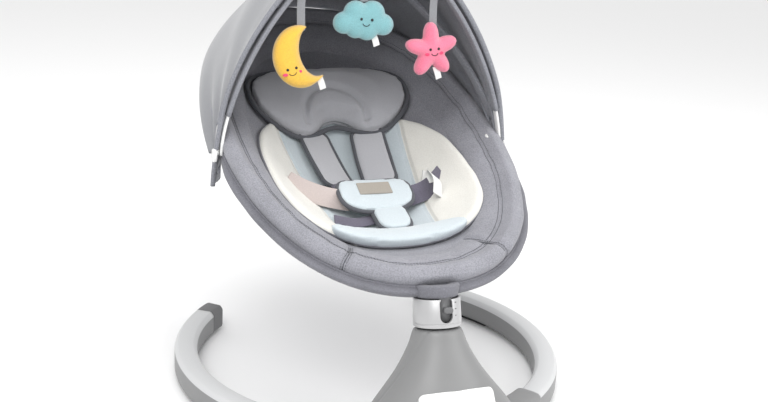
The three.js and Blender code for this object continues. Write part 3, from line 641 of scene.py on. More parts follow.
def skirt():
    """The outer cover below the piping, tucked under the tube and hung beneath the seat."""
    line = [(1, 0.0128, -0.0045), (1, 0.0150, -0.0100), (1, 0.0140, -0.0180), (1, 0.0095, -0.0262), (1, 0.0010, -0.0320), (0.97, -0.004, -0.0335),
            (0.9, -0.006, -0.032), (0.75, -0.008, -0.030), (0.5, -0.01, -0.029), (0.25, -0.01, -0.029), (0.06, -0.01, -0.029)]
    rows, verts = 44, []
    turns = TURNS[::2]
    for r in range(rows):
        for turn in turns:
            share, outward, height = spline(line, r / (rows - 1))
            rim = rim_point(turn, 0)
            pull = noise.noise(Vector((rim.x * 26, rim.y * 26, r * 0.16)))
            front = smoothstep(-0.02, -0.12, rim.y)
            swell = 0.0016 * pull * smoothstep(0, 0.15, r / rows)
            swell += 0.0120 * front * math.sin(math.pi * min(1.0, r / rows / 0.42))
            verts.append(bowl_point(turn, share, outward + swell, height + swell * 0.8))
    faces = grid_faces(rows, len(turns), False, True)
    faces.append(tuple(range((rows - 1) * len(turns), rows * len(turns))))
    make("outer_skirt", verts, faces, SKIRT, "seat", "dark_fabric", (), SEAT)


def piping():
    points = [bowl_point(t, 1, 0.0146, -0.0038) for t in TURNS]
    make("rim_piping", *rod(points, 0.0022, 10, True), SKIRT, "seat", "dark_fabric", (), SEAT)
    ring = [border_point(t, RING_SEAM) + Vector((0, 0, 0.0002)) for t in TURNS]
    make("ring_seam", *rod(ring, 0.0012, 6, True), BINDING, "seat", "dark_fabric", (), SEAT)
    for k, corner in enumerate(CORNERS):
        line = [border_point(corner, i / 30) + Vector((0, 0, 0.0003)) for i in range(1, 31)]
        make(f"corner_seam_{k + 1}", *rod(line, 0.0012, 6), BINDING, "seat", "dark_fabric", (), SEAT)


# Stitches are set along a seam by a small node program: it spaces short threads evenly and varies each a little.
def stitch_program():
    tree = bpy.data.node_groups.new("sewn_stitches", "GeometryNodeTree")
    sockets = tree.interface
    sockets.new_socket("Seam", in_out="INPUT", socket_type="NodeSocketGeometry")
    for label, kind, value in (("Spacing", "NodeSocketFloat", 0.0042), ("Stitch Length", "NodeSocketFloat", 0.0029),
                               ("Thread Radius", "NodeSocketFloat", 0.0004), ("Seed", "NodeSocketInt", 5), ("Thread", "NodeSocketMaterial", None)):
        socket = sockets.new_socket(label, in_out="INPUT", socket_type=kind)
        if value is not None:
            socket.default_value = value
    sockets.new_socket("Stitches", in_out="OUTPUT", socket_type="NodeSocketGeometry")
    node = {key: tree.nodes.new(kind) for key, kind in (
        ("in", "NodeGroupInput"), ("curve", "GeometryNodeMeshToCurve"), ("points", "GeometryNodeCurveToPoints"), ("thread", "GeometryNodeMeshCylinder"),
        ("vary", "FunctionNodeRandomValue"), ("place", "GeometryNodeInstanceOnPoints"), ("real", "GeometryNodeRealizeInstances"),
        ("paint", "GeometryNodeSetMaterial"), ("out", "NodeGroupOutput"))}
    node["points"].mode = "LENGTH"
    node["vary"].data_type = "FLOAT"
    node["thread"].inputs["Vertices"].default_value = 6
    ends = [s for s in node["vary"].inputs if s.name in ("Min", "Max") and s.type == "VALUE"]
    ends[0].default_value, ends[1].default_value = 0.88, 1.08
    vary = next(s for s in node["vary"].outputs if s.type == "VALUE")
    for a, b in ((node["in"].outputs["Seam"], node["curve"].inputs["Mesh"]), (node["curve"].outputs["Curve"], node["points"].inputs["Curve"]),
                 (node["in"].outputs["Spacing"], node["points"].inputs["Length"]), (node["points"].outputs["Points"], node["place"].inputs["Points"]),
                 (node["points"].outputs["Rotation"], node["place"].inputs["Rotation"]), (node["in"].outputs["Thread Radius"], node["thread"].inputs["Radius"]),
                 (node["in"].outputs["Stitch Length"], node["thread"].inputs["Depth"]), (node["thread"].outputs["Mesh"], node["place"].inputs["Instance"]),
                 (node["in"].outputs["Seed"], node["vary"].inputs["Seed"]), (vary, node["place"].inputs["Scale"]),
                 (node["place"].outputs["Instances"], node["real"].inputs["Geometry"]), (node["real"].outputs["Geometry"], node["paint"].inputs["Geometry"]),
                 (node["in"].outputs["Thread"], node["paint"].inputs["Material"]), (node["paint"].outputs["Geometry"], node["out"].inputs["Stitches"])):
        tree.links.new(a, b)
    return tree


STITCHES = stitch_program()


def stitched(name, points, material, body="seat", spacing=0.0042, length=0.0029, radius=0.0004, seed=5, closed=True):
    """Sews a seam through world points and leaves the threads as one plain mesh."""
    count = len(points)
    edges = [(i, (i + 1) % count) for i in range(count if closed else count - 1)]
    seam = bpy.data.meshes.new(name)
    seam.from_pydata([tuple(p) for p in points], edges, [])
    obj = bpy.data.objects.new(name, seam)
    bpy.context.collection.objects.link(obj)
    sewing = obj.modifiers.new("sewing", "NODES")
    sewing.node_group = STITCHES
    values = {"Spacing": spacing, "Stitch Length": length, "Thread Radius": radius, "Seed": seed, "Thread": material}
    for item in STITCHES.interface.items_tree:
        if item.in_out == "INPUT" and item.name in values:
            sewing[item.identifier] = values[item.name]
    bpy.context.view_layer.update()
    mesh = bpy.data.meshes.new_from_object(obj.evaluated_get(bpy.context.evaluated_depsgraph_get()))
    bpy.data.objects.remove(obj)
    threads = bpy.data.objects.new(name, mesh)
    bpy.context.collection.objects.link(threads)
    mesh.materials.clear()
    mesh.materials.append(material)
    settle(threads, body)


def sewn_rings():
    for name, t, shift in (("outer_ring_stitches", RING_SEAM - 0.03, 0.0004), ("inner_ring_stitches", RING_SEAM + 0.03, 0.0004)):
        stitched(name, [SEAT @ (border_point(turn, t) + Vector((0, 0, shift))) for turn in TURNS], BINDING)
    for k, corner in enumerate(CORNERS):
        for side in (-1, 1):
            line = [SEAT @ (border_point(corner + side * 0.0022, i / 30) + Vector((0, 0, 0.0004))) for i in range(1, 30)]
            stitched(f"corner_stitches_{k + 1}_{'a' if side < 0 else 'b'}", line, BINDING, closed=False)


quilted_border()
skirt()
piping()
sewn_rings()
print("seat cover done")

# %% [markdown]
# The liner is a soft insert with a rolled edge. It is pale blue down the middle and ivory at the sides.

# %% Liner
LINER_MIDDLE = -0.075


def liner_outline(turn):
    """A rounded insert, longer toward the head than toward the feet."""
    c, s = math.cos(2 * math.pi * turn), math.sin(2 * math.pi * turn)
    half, power = (0.200, 2.4) if s > 0 else (0.170, 3.0)
    return 0.160 * math.copysign(abs(c) ** (2 / power), c), half * math.copysign(abs(s) ** (2 / power), s)


def inner_cover():
    """The grey fabric that lines the hanging bowl under the insert."""
    rows, turns = 40, TURNS[::2]
    verts = []
    for r in range(rows):
        share = 0.86 + (0.05 - 0.86) * r / (rows - 1)
        for turn in turns:
            point = bowl_point(turn, share, -0.0165, 0.0045)
            point.z += 0.0014 * noise.noise(Vector((point.x * 20, point.y * 20, 4)))
            verts.append(point)
    faces = grid_faces(rows, len(turns), False, True) + [tuple(range((rows - 1) * len(turns), rows * len(turns)))]
    make("inner_cover", verts, faces, BORDER, "seat", "grey_fabric", (), SEAT)


def liner():
    line = [(0.04, 0.012), (0.25, 0.012), (0.5, 0.0125), (0.72, 0.0135), (0.84, 0.0155), (0.90, 0.0180),
            (0.945, 0.0185), (0.98, 0.0150), (1.0, 0.0090), (0.985, 0.0055)]
    rows, count = 74, 220
    verts = []
    for r in range(rows):
        share, height = spline(line, r / (rows - 1))
        for k in range(count):
            x, y = liner_outline(k / count)
            x, y = x * share, y * share + LINER_MIDDLE
            soft = noise.noise(Vector((x * 22, y * 22, 3))) * 0.0020 + noise.noise(Vector((x * 60, y * 30, 9))) * 0.0009
            groove = math.exp(-((abs(x) - 0.0975 - y * 0.12) / 0.004) ** 2) * 0.0024
            verts.append((x, y, bowl_height(x, y) + height + soft - groove))
    faces = grid_faces(rows, count, False, True) + [tuple(range(count))]
    obj = make("seat_insert", verts, faces, LINER, "seat", "cream_fabric", ("seat_liner",), SEAT)
    edge = [Vector((x, y + LINER_MIDDLE, bowl_height(x, y + LINER_MIDDLE) + 0.0085)) for x, y in (liner_outline(k / 200) for k in range(200))]
    make("insert_piping", *rod(edge, 0.0018, 8, True), SKIRT, "seat", "dark_fabric", (), SEAT)


inner_cover()
liner()
print("liner done")

# %% [markdown]
# Cushions are blown up as flat forms first. A slab with the cushion's outline is remeshed finely and
# inflated by the cloth simulation, and only then is it laid on the curve of the seat.

# %% Inflate and drape
def slab(outline, thick, edge=0.8):
    """A flat closed form over a convex outline, its rings drawn from the edge to the middle."""
    verts, count = [], len(outline)
    middle = sum((Vector(p) for p in outline), Vector((0, 0))) / count
    shares = (0.05, 0.35, 0.65, 0.88, 1.0)
    for sign in (-1, 1):
        for share in shares if sign < 0 else reversed(shares):
            height = sign * thick / 2 * (1 if share < 1 else edge)
            verts += [(*(middle + (Vector(p) - middle) * share), height) for p in outline]
    faces = grid_faces(10, count, False, True) + [tuple(range(count)), tuple(range(len(verts) - 1, len(verts) - 1 - count, -1))]
    return verts, faces


def inflate(obj, pressure, frames=20, cap=0.02, voxel=0.005):
    modified(obj, "REMESH", mode="VOXEL", voxel_size=voxel)
    start = [v.co.copy() for v in obj.data.vertices]
    modifier = obj.modifiers.new("inflate", "CLOTH")
    modifier.settings.use_pressure = True
    modifier.settings.uniform_pressure_force = pressure
    modifier.settings.effector_weights.gravity = 0
    modifier.settings.tension_stiffness = 18
    modifier.settings.mass = 0.3
    for step in range(1, frames + 1):
        bpy.context.scene.frame_set(step)
    graph = bpy.context.evaluated_depsgraph_get()
    blown = [v.co.copy() for v in obj.evaluated_get(graph).data.vertices]
    obj.modifiers.clear()
    bpy.context.scene.frame_set(1)
    for v, before, after in zip(obj.data.vertices, start, blown):
        move = after - before
        v.co = before + move * min(1.0, cap / max(move.length, 1e-9))
    return obj


def drape(obj, x, y, turn, lift, pitch=0.0, seams=None, follow=1.0):
    """Lays a flat form on the seat, with its own sewn channels pressed in first."""
    modified(obj, "SUBSURF", levels=1, render_levels=1)
    c, s = math.cos(turn), math.sin(turn)
    for v in obj.data.vertices:
        if seams:
            v.co.z -= seams(v.co.x, v.co.y, v.co.z)
        px, py = x + v.co.x * c - v.co.y * s, y + v.co.x * s + v.co.y * c
        v.co = SEAT @ Vector((px, py, bowl_height(px * follow, py) + lift + v.co.z + pitch * v.co.y))
    obj.data.update()


def cushion(name, outline, thick, pressure, x, y, turn, lift, material, stands_for, pitch=0.0, seams=None, cap=0.02, voxel=0.005, follow=1.0):
    obj = make(name, *slab(outline, thick), material, None, None)
    inflate(obj, pressure, cap=cap, voxel=voxel)
    drape(obj, x, y, turn, lift, pitch, seams, follow)
    obj.data.materials.clear()
    obj.data.materials.append(material)
    settle(obj, "seat", stands_for)
    return obj


def binding(name, outline, x, y, turn, lift, radius, pitch=0.0, grow=0.001, height=0.0, follow=1.0):
    """Tape sewn round a pad's edge."""
    c, s = math.cos(turn), math.sin(turn)
    middle = sum((Vector(p) for p in outline), Vector((0, 0))) / len(outline)
    points = []
    for p in outline:
        flat = Vector(p) + (Vector(p) - middle).normalized() * grow
        px, py = x + flat.x * c - flat.y * s, y + flat.x * s + flat.y * c
        points.append(SEAT @ Vector((px, py, bowl_height(px * follow, py) + lift + pitch * flat.y + height)))
    make(name, *rod(points, radius, 8, True, 1.0), BINDING, "seat", "dark_fabric")


def dense(outline, step=0.006):
    points = []
    for a, b in zip(outline, outline[1:] + outline[:1]):
        a, b = Vector(a), Vector(b)
        parts = max(1, int((b - a).length / step))
        points += [tuple(a.lerp(b, k / parts)) for k in range(parts)]
    return points


def pillow_outline():
    """A wide pillow, rounder at its ends, with a shallow notch for the neck in its lower edge."""
    points = []
    for x, y in superellipse(0.137, 0.069, 2.25, 84):
        if y < 0:
            y += 0.026 * math.exp(-((x / 0.042) ** 2)) - 0.006
            y -= 0.010 * math.exp(-(((abs(x) - 0.075) / 0.04) ** 2))
        points.append((x, y))
    return points


def pillow_seams(x, y, z):
    """The arch-shaped crease round the neck lobe."""
    if z < 0:
        return 0.0
    arch = math.hypot(x / 0.052, (y + 0.052) / 0.062)
    crease = math.exp(-(((arch - 1) / 0.10) ** 2)) * (1 if y > -0.06 else 0.4)
    return 0.0075 * crease + 0.004 * smoothstep(1.0, 0.2, arch)


def soft_pieces():
    outline = pillow_outline()
    cushion("head_cushion", outline, 0.026, 4.0, -0.004, 0.136, 0.05, 0.031, PILLOW, ("head_pillow",), seams=pillow_seams, cap=0.014, follow=0.82)
    binding("pillow_binding", outline, -0.004, 0.136, 0.05, 0.029, 0.0042, grow=0.0015, follow=0.82)
    for label, sign in (("left", 1), ("right", -1)):
        outline = dense(rounded(0.050, 0.136, 0.016, 5), 0.008)
        turn, x = sign * -0.10, 0.0435 if sign > 0 else -0.038
        cushion(f"shoulder_cushion_{label}", outline, 0.008, 3.0, x, 0.010, turn, 0.024, PAD,
                (f"shoulder_pad_{label}", f"shoulder_strap_{label}"), cap=0.006, voxel=0.004)
        binding(f"shoulder_binding_{label}", outline, x, 0.010, turn, 0.0235, 0.0032)
    outline = dense(superellipse(0.057, 0.033, 3.0, 48), 0.008)
    cushion("waist_cushion", outline, 0.010, 3.0, 0, -0.118, 0, 0.044, PALE, ("waist_pad", "harness_buckle"), pitch=0.30, cap=0.007, voxel=0.004)
    binding("waist_binding", outline, 0, -0.118, 0, 0.042, 0.0034, pitch=0.30)
    outline = dense(rounded(0.048, 0.058, 0.016, 5), 0.008)
    cushion("crotch_cushion", outline, 0.012, 3.0, 0.012, -0.167, 0, 0.028, PALE, ("crotch_pad",), pitch=0.25, cap=0.006, voxel=0.004)
    binding("crotch_binding", outline, 0.012, -0.167, 0, 0.026, 0.0034, pitch=0.25)
    outline = dense(superellipse(0.103, 0.026, 2.6, 60), 0.008)
    cushion("liner_front_roll", outline, 0.020, 3.0, 0, -0.222, 0, 0.016, PALE, (), cap=0.007)
    patch = [(x, y) for x, y in rounded(0.052, 0.024, 0.001, 2)]
    verts = []
    for height in (0.0, 0.0014):
        for x, y in patch:
            px, py = x, y - 0.112
            verts.append(SEAT @ Vector((px, py, bowl_height(0, py) + 0.0555 + 0.30 * (y + 0.006) + height - 3.0 * x * x)))
    count = len(patch)
    make("plain_label", verts, grid_faces(2, count, False, True) + [tuple(range(count)), tuple(range(2 * count - 1, count - 1, -1))],
         LABEL, "seat", "pink_plush", ("waist_label",), smooth=False)


soft_pieces()
print("cushions done")

# %% [markdown]
# The straps are flat webbing: each follows the seat from a slot in the liner to the buckle.

# %% Harness webbing
def strap(name, points, width, material, body="seat", stands_for=(), place=SEAT, thick=0.0016, slot="dark_fabric", twist=None):
    points = [Vector(spline(points, k / 24)) for k in range(25)]
    sides, ups = [], []
    for i, point in enumerate(points):
        along = (points[min(i + 1, 24)] - points[max(i - 1, 0)]).normalized()
        normal = Vector(twist) if twist else Vector((0, 0, 1))
        side = along.cross(normal).normalized()
        sides.append(side)
        ups.append(side.cross(along))
    make(name, *sweep(points, sides, ups, rounded(width, thick, thick * 0.45, 2)), material, body, slot, stands_for, place)


def on_seat(x, y, lift):
    return (x, y, bowl_height(x, y) + lift)


def webbing():
    for label, sign in (("left", 1), ("right", -1)):
        top = [on_seat(sign * 0.050, 0.115, 0.008), on_seat(sign * 0.050, 0.085, 0.020), on_seat(sign * 0.049, 0.05, 0.019), on_seat(sign * 0.044, -0.03, 0.018)]
        strap(f"shoulder_webbing_{label}", top, 0.026, WEBBING)
        low = [on_seat(sign * 0.040, -0.035, 0.020), on_seat(sign * 0.036, -0.070, 0.030), on_seat(sign * 0.030, -0.108, 0.036)]
        strap(f"lower_webbing_{label}", low, 0.024, WEBBING)
        waist = [on_seat(sign * 0.128, -0.075, 0.009), on_seat(sign * 0.105, -0.098, 0.020), on_seat(sign * 0.078, -0.116, 0.030), on_seat(sign * 0.040, -0.124, 0.036)]
        strap(f"waist_webbing_{label}", waist, 0.030, BLUSH if sign < 0 else WEBBING, stands_for=(f"waist_strap_{label}",), twist=(0, -0.7, 0.7))
    tag = [on_seat(0.088, -0.086, 0.034), on_seat(0.098, -0.097, 0.040), on_seat(0.101, -0.114, 0.036), on_seat(0.096, -0.134, 0.024)]
    strap("care_tag", tag, 0.026, TAG, thick=0.0008, slot="cream_fabric", twist=(0.6, -0.5, 0.6))
    strap("crotch_webbing", [on_seat(-0.010, -0.158, 0.022), on_seat(-0.042, -0.166, 0.018), on_seat(-0.075, -0.160, 0.014)], 0.020, WEBBING)


webbing()
print("webbing done")

# %% [markdown]
# The canopy is one curved sheet over two hoops. Its front edge hangs almost upright, its back edge follows
# the rim, and between them the fabric sags a little. The outside is satin and the lining is dark.

# %% Canopy
BOW_HEIGHT, BOW_HALF, BOW_POWER, BOW_LEAN = 0.312, 0.2254, 1.58, math.radians(2)
RIM_LEAN = math.radians(90) - SEAT_TILT


def canopy_point(t, a, inset):
    """t runs from the front edge (0) to the head end (1), and a from the baby's left (0) to the right (1)."""
    lean = math.radians(0.6) * (1 - t) + (RIM_LEAN - 0.045) * t
    power = 1.64 + 0.66 * t * t
    height = 0.325 + (0.429 - 0.325) * t**1.6 + 0.006 * math.sin(math.pi * t)
    half = 0.2375 - 0.010 * math.sin(math.pi * t)
    sag = 0.006 * math.sin(math.pi * min(1, t / 0.45)) ** 2 + 0.010 * math.sin(math.pi * max(0, (t - 0.45) / 0.55)) ** 2
    angle = math.pi * (0.005 + 0.99 * a)
    c, s = math.cos(angle), math.sin(angle)
    low = 1 - smoothstep(0.0, 0.22, min(a, 1 - a))
    fold = noise.noise(Vector((a * 9, t * 3.2, 2))) * 0.5 + noise.noise(Vector((a * 26 + t * 3, t * 6, 7))) * 0.28
    pleat = math.sin(t * 21 + 3 * noise.noise(Vector((a * 5, t * 3, 11)))) * low
    move = -sag * math.sin(angle) + 0.0045 * fold * math.sin(math.pi * min(1, t * 5)) + 0.0035 * pleat * smoothstep(0, 0.08, t)
    x = (half - inset + move) * math.copysign(abs(c) ** (2 / power), c)
    rise = (height - inset + move) * abs(s) ** (2 / power)
    drop = 0.044 * (1 - smoothstep(0.0, 0.13, min(a, 1 - a))) * (1 - smoothstep(0.0, 0.7, t)) + 0.004
    return Vector((x, HINGE.y + rise * math.sin(lean), HINGE.z + rise * math.cos(lean) - drop))


def canopy():
    rows, columns = 90, 150
    outer = [canopy_point(r / (rows - 1), c / (columns - 1), 0) for r in range(rows) for c in range(columns)]
    inner = [canopy_point(r / (rows - 1), c / (columns - 1), 0.0022) for r in range(rows) for c in range(columns)]
    faces = grid_faces(rows, columns)
    skin = len(faces)
    faces += grid_faces(rows, columns, start=rows * columns)
    total = rows * columns
    edge = [c for c in range(columns)] + [r * columns + columns - 1 for r in range(1, rows)]
    edge += [(rows - 1) * columns + c for c in range(columns - 2, -1, -1)] + [r * columns for r in range(rows - 2, 0, -1)]
    for a, b in zip(edge, edge[1:] + edge[:1]):
        faces.append((a, b, total + b, total + a))
    hood = make("canopy_cloth", outer + inner, faces, [HOOD_OUT, HOOD_IN], None, None, pick=lambda i: 1 if skin <= i < 2 * skin else 0)
    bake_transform(hood)
    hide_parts("canopy_hood")
    hem = [canopy_point(0.004, c / 149, 0.001) for c in range(150)]
    make("canopy_binding", *rod(hem, 0.0042, 10, flat=0.8), HOOD_IN, "front_hoop", "dark_fabric")


def hoop_points(half, height, lean, steps, start=0.0):
    points = []
    for k in range(steps + 1):
        a = math.pi * (start + (1 - 2 * start) * k / steps)
        c, s = math.cos(a), math.sin(a)
        rise = height * max(0.0, s) ** (2 / BOW_POWER)
        points.append(Vector((half * math.copysign(abs(c) ** (2 / BOW_POWER), c), HINGE.y + rise * math.sin(lean), HINGE.z + rise * math.cos(lean))))
    return points


def hoops():
    strips = (
        ("front_hoop_strip", BOW_HALF, BOW_HEIGHT, BOW_LEAN, "front_hoop", ("front_bow",), WHITE, 0.0, (0.004, 0.012)),
        ("front_hoop_sleeve", BOW_HALF, BOW_HEIGHT, BOW_LEAN, "front_hoop", (), HOOD_IN, 0.085, (0.0062, 0.0155)),
        ("rear_hoop_strip", BOW_HALF + 0.0054, BOW_HEIGHT + 0.002, math.radians(30), "rear_hoop", ("rear_bow",), WHITE, 0.0, (0.004, 0.012)),
        ("rear_hoop_sleeve", BOW_HALF + 0.0054, BOW_HEIGHT + 0.002, math.radians(30), "rear_hoop", (), HOOD_IN, 0.07, (0.0062, 0.0150)),
    )
    for name, half, height, lean, body, nodes, material, start, size in strips:
        points = hoop_points(half, height, lean, 90, start)
        across = Vector((0, math.cos(lean), -math.sin(lean)))
        sides = []
        for i in range(91):
            along = (points[min(i + 1, 90)] - points[max(i - 1, 0)]).normalized()
            sides.append(along.cross(across).normalized())
        verts, faces = sweep(points, sides, [across] * 91, rounded(*size, 0.0018, 3))
        make(name, verts, faces, material, body, "white_plastic" if material is WHITE else "dark_fabric", nodes)


def hinge_clips():
    for label, sign in (("left", 1), ("right", -1)):
        outline = rounded(0.021, 0.040, 0.0075, 5)
        verts = []
        for share, x in ((0.86, 0.1990), (1, 0.2010), (1, 0.2195), (0.94, 0.2212), (0.6, 0.2218)):
            verts += [SEAT @ Vector((sign * x, -0.054 + u * share, (v * share) - 0.006)) for u, v in outline]
        count = len(outline)
        faces = grid_faces(5, count, False, True) + [tuple(range(count)), tuple(range(5 * count - 1, 4 * count - 1, -1))]
        make(f"canopy_clip_{label}", verts, faces, WHITE, "seat", "white_plastic", (f"canopy_mount_{label}",))
        disc = [(0.0, 0.0), (0.0095, 0.0), (0.0100, 0.0008), (0.0100, 0.0040), (0.0090, 0.0052), (0.0, 0.0056)]
        count = 40
        verts = [SEAT @ Vector((sign * (0.2322 + h), -0.054 + r * math.cos(2 * math.pi * k / count), -0.006 + r * math.sin(2 * math.pi * k / count))) for r, h in disc[1:-1] for k in range(count)]
        faces = grid_faces(4, count, False, True) + [tuple(range(count)), tuple(range(4 * count - 1, 3 * count - 1, -1))]
        make(f"canopy_pivot_{label}", verts, faces, WHITE, "seat", "white_plastic", (f"canopy_pin_{label}",))


canopy()
hoops()
hinge_clips()
print("canopy done")

# %% [markdown]
# Each toy is a stuffed outline. Its thickness at a point grows with the distance to the nearest edge, so
# it is fat in the middle and thin at its seam, and it carries a small sewn face.

# %% Toys
def edge_distance(x, y, outline):
    best = 1.0
    for (ax, ay), (bx, by) in zip(outline, outline[1:] + outline[:1]):
        dx, dy = bx - ax, by - ay
        t = min(1.0, max(0.0, ((x - ax) * dx + (y - ay) * dy) / max(dx * dx + dy * dy, 1e-12)))
        best = min(best, math.hypot(x - ax - dx * t, y - ay - dy * t))
    return best


def stuffed(name, outline, half_thick, reach, material, body, stands_for, place):
    count = len(outline)
    verts = [(x, y, z) for z in (-0.003, 0.003) for x, y in outline]
    faces = [tuple(range(count - 1, -1, -1)), tuple(range(count, 2 * count))] + grid_faces(2, count, False, True)
    toy = make(name, verts, faces, material, None, None)
    modified(toy, "REMESH", mode="VOXEL", voxel_size=0.0015)
    for v in toy.data.vertices:
        d = min(1.0, edge_distance(v.co.x, v.co.y, outline) / reach)
        if abs(v.co.z) > 0.0012:
            v.co.z = math.copysign(0.0012 + half_thick * math.sqrt(max(0.0, 1 - (1 - d) ** 2)), v.co.z)
        v.co.z *= 1 + 0.05 * noise.noise(v.co * 60)
    modified(toy, "SMOOTH", factor=0.5, iterations=6)
    toy.data.transform(place)
    toy.data.materials.clear()
    toy.data.materials.append(material)
    settle(toy, body, stands_for)
    return toy


def moon_outline():
    points = []
    for k in range(40):
        a = math.radians(62 + 236 * k / 39)
        points.append((0.0365 * math.cos(a), 0.0415 * math.sin(a)))
    for k in range(1, 30):
        t = k / 30
        b = math.radians(292 - 224 * t)
        points.append((0.0222 + 0.0265 * math.cos(b) * 0.86, 0.003 + 0.0345 * math.sin(b)))
    return points


def star_outline():
    points = []
    for k in range(100):
        a = 2 * math.pi * k / 100 + math.pi / 2
        lobe = abs(math.cos(2.5 * (a - math.pi / 2)))
        points.append((a, 0.0195 + 0.0190 * lobe**1.6))
    return [(r * math.cos(a), r * math.sin(a)) for a, r in points]


def cloud_outline():
    lobes = ((-0.027, -0.004, 0.0145), (-0.012, 0.010, 0.0165), (0.011, 0.011, 0.0175), (0.028, -0.002, 0.0145), (0.006, -0.008, 0.0165), (-0.010, -0.008, 0.015))
    points = []
    for k in range(120):
        a = 2 * math.pi * k / 120
        ux, uy = math.cos(a), math.sin(a)
        best = 0.01
        for x, y, r in lobes:
            along = x * ux + y * uy
            off = abs(x * uy - y * ux)
            if off < r:
                best = max(best, along + math.sqrt(r * r - off * off))
        points.append((best * ux, best * uy))
    return points


def face(name, body, place, depth, x, y, spread, slot):
    """Two bead eyes, a sewn smile and felt cheeks, set on the front of a toy."""
    for k, sign in enumerate((-1, 1)):
        eye = [(0.0, 0.0)]
        count = 16
        verts = [place @ Vector((x + sign * spread + r * math.cos(2 * math.pi * i / count), y + r * math.sin(2 * math.pi * i / count), depth + h))
                 for r, h in ((0.0019, -0.002), (0.0019, 0.0006), (0.0012, 0.0014)) for i in range(count)]
        faces = grid_faces(3, count, False, True) + [tuple(range(count)), tuple(range(3 * count - 1, 2 * count - 1, -1))]
        make(f"{name}_eye_{k + 1}", verts, faces, THREAD, body, slot)
        verts = [place @ Vector((x + sign * spread * 1.62 + r * 1.35 * math.cos(2 * math.pi * i / count), y - 0.0062 + r * 0.8 * math.sin(2 * math.pi * i / count), depth + h - 0.0012))
                 for r, h in ((0.0027, -0.003), (0.0027, 0.0006), (0.002, 0.0011)) for i in range(count)]
        make(f"{name}_cheek_{k + 1}", verts, faces, CHEEK, body, slot)
    smile = [place @ Vector((x + 0.0048 * math.sin(a), y - 0.0050 - 0.0036 * math.cos(a), depth + 0.0005)) for a in [math.radians(-80 + 16 * k) for k in range(11)]]
    make(f"{name}_smile", *rod(smile, 0.0006, 6), THREAD, body, slot)


def toys():
    upright = Matrix.Rotation(math.radians(90), 4, "X")
    specs = (
        ("moon", -0.108, 0.478, moon_outline(), 0.0115, 0.014, YELLOW, "yellow_plush", -0.017, -0.010, 0.0058, 0.0375),
        ("cloud", -0.012, 0.530, cloud_outline(), 0.0115, 0.016, BLUE, "blue_plush", 0.0, 0.004, 0.0075, 0.0290),
        ("star", 0.100, 0.488, star_outline(), 0.0115, 0.016, PINK, "pink_plush", 0.0, 0.003, 0.0060, 0.0350),
    )
    for kind, x, z, outline, thick, reach, material, slot, fx, fy, spread, top in specs:
        rise = BOW_HEIGHT * math.sin(math.acos(abs(x / BOW_HALF) ** (BOW_POWER / 2))) ** (2 / BOW_POWER)
        anchor_y = HINGE.y + rise * math.sin(BOW_LEAN)
        anchor_z = HINGE.z + rise * math.cos(BOW_LEAN)
        tilt = Matrix.Rotation(math.radians({"moon": -14, "cloud": 4, "star": -6}[kind]), 4, "Y")
        place = Matrix.Translation((x, anchor_y, z)) @ tilt @ upright @ Matrix.Scale(1.12, 4)
        stuffed(f"plush_{kind}", outline, thick, reach, material, kind, (f"toy_{kind}",), place)
        face(kind, kind, place, thick + 0.0008, fx, fy, spread, slot)
        ribbon = [(x, anchor_y, anchor_z - 0.006), (x - 0.001, anchor_y + 0.001, (anchor_z + z + top * 1.12) / 2), (x, anchor_y, z + top * 1.12 - 0.004)]
        strap(f"ribbon_{kind}", ribbon, 0.0125, HOOD_OUT, kind, (f"toy_ribbon_{kind}",), WORLD, 0.0012, twist=(0, -1, 0))
        foot = {"moon": (0.030, -0.034), "cloud": (0.016, -0.022), "star": (0.009, -0.030)}[kind]
        tag = [(x + foot[0], anchor_y, z + foot[1] + 0.005), (x + foot[0] + 0.004, anchor_y - 0.002, z + foot[1] - 0.006), (x + foot[0] + 0.007, anchor_y - 0.001, z + foot[1] - 0.014)]
        strap(f"toy_tag_{kind}", tag, 0.010, TAG, kind, (), WORLD, 0.0008, slot="cream_fabric", twist=(0, -1, 0))


toys()
print("toys done")

# %% [markdown]
# The parts that stay as the frame made them get their finishes here.

# %% Finishes of the kept parts
METAL = Recipe("brushed_steel", (0.5, 0.5, 0.51), 0.32, 1.0).material
BRASS = Recipe("turned_brass", (0.6, 0.44, 0.2), 0.35, 1.0).material
GREEN = Recipe("board_green", (0.03, 0.16, 0.07), 0.5).material
KEPT = {"light_plastic": LEG_TOP, "grey_plastic": CAP, "silver_plastic": SILVER, "white_plastic": WHITE, "black_rubber": RUBBER,
        "steel": METAL, "brass": BRASS, "circuit_green": GREEN, "dark_fabric": SKIRT, "grey_fabric": BORDER}
for part in frame["record"]["subparts"]:
    node = frame["nodes"].get(part["node"])
    material = KEPT.get(part["material_slot"])
    if node and material:
        node.data.materials.clear()
        node.data.materials.append(material)
print("kept parts finished")

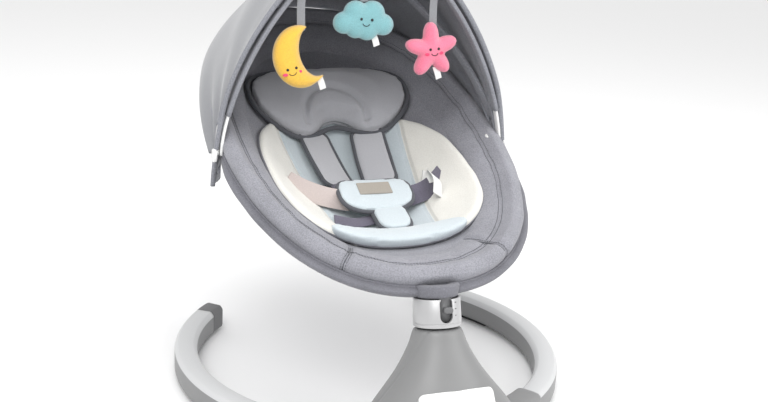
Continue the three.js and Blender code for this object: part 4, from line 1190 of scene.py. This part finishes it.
# %% [markdown]
# The swing stands on a pale floor in soft studio light, seen from the front and a little to one side.

# %% Floor, light and camera
def floor():
    verts = [(-30, -30, -0.0004), (30, -30, -0.0004), (30, 30, -0.0004), (-30, 30, -0.0004)]
    material = Recipe("studio_floor", (0.9, 0.9, 0.9), 0.9).material
    ground = make("studio_floor", verts, [(0, 1, 2, 3)], material, None, None, smooth=False)


def area_light(name, position, target, size, power):
    light = bpy.data.lights.new(name, "AREA")
    light.shape, light.size, light.energy = "SQUARE", size, power
    lamp = bpy.data.objects.new(name, light)
    lamp.location = position
    lamp.rotation_euler = (Vector(target) - Vector(position)).to_track_quat("-Z", "Y").to_euler()
    bpy.context.collection.objects.link(lamp)


def camera():
    yaw, pitch, roll = math.radians(-21.9), math.radians(16.7), math.radians(3.5)
    right = Vector((math.cos(yaw), math.sin(yaw), 0))
    ahead = Vector((-math.sin(yaw) * math.cos(pitch), math.cos(yaw) * math.cos(pitch), -math.sin(pitch)))
    up = right.cross(ahead)
    right, up = right * math.cos(roll) + up * math.sin(roll), up * math.cos(roll) - right * math.sin(roll)
    data = bpy.data.cameras.new("camera")
    data.sensor_width, data.lens = 36, 48.94
    data.clip_start, data.clip_end = 0.05, 100
    view = bpy.data.objects.new("camera", data)
    view.matrix_world = Matrix.Translation(Vector((-0.006, 0.243, 0.285)) - ahead * 1.52) @ Matrix((right, up, -ahead)).transposed().to_4x4()
    bpy.context.collection.objects.link(view)
    bpy.context.scene.camera = view


floor()
area_light("key", (-1.2, -1.6, 2.4), (0, 0.3, 0.3), 1.6, 42)
area_light("fill", (1.8, -1.2, 1.4), (0, 0.3, 0.3), 1.6, 20)
area_light("top", (0.2, 0.6, 2.8), (0, 0.4, 0.3), 1.8, 26)
world = bpy.context.scene.world or bpy.data.worlds.new("world")
bpy.context.scene.world = world
world.use_nodes = True
world.node_tree.nodes["Background"].inputs[0].default_value = (1, 1, 1, 1)
world.node_tree.nodes["Background"].inputs[1].default_value = 0.9
camera()
bpy.context.scene.view_settings.view_transform = "Standard"
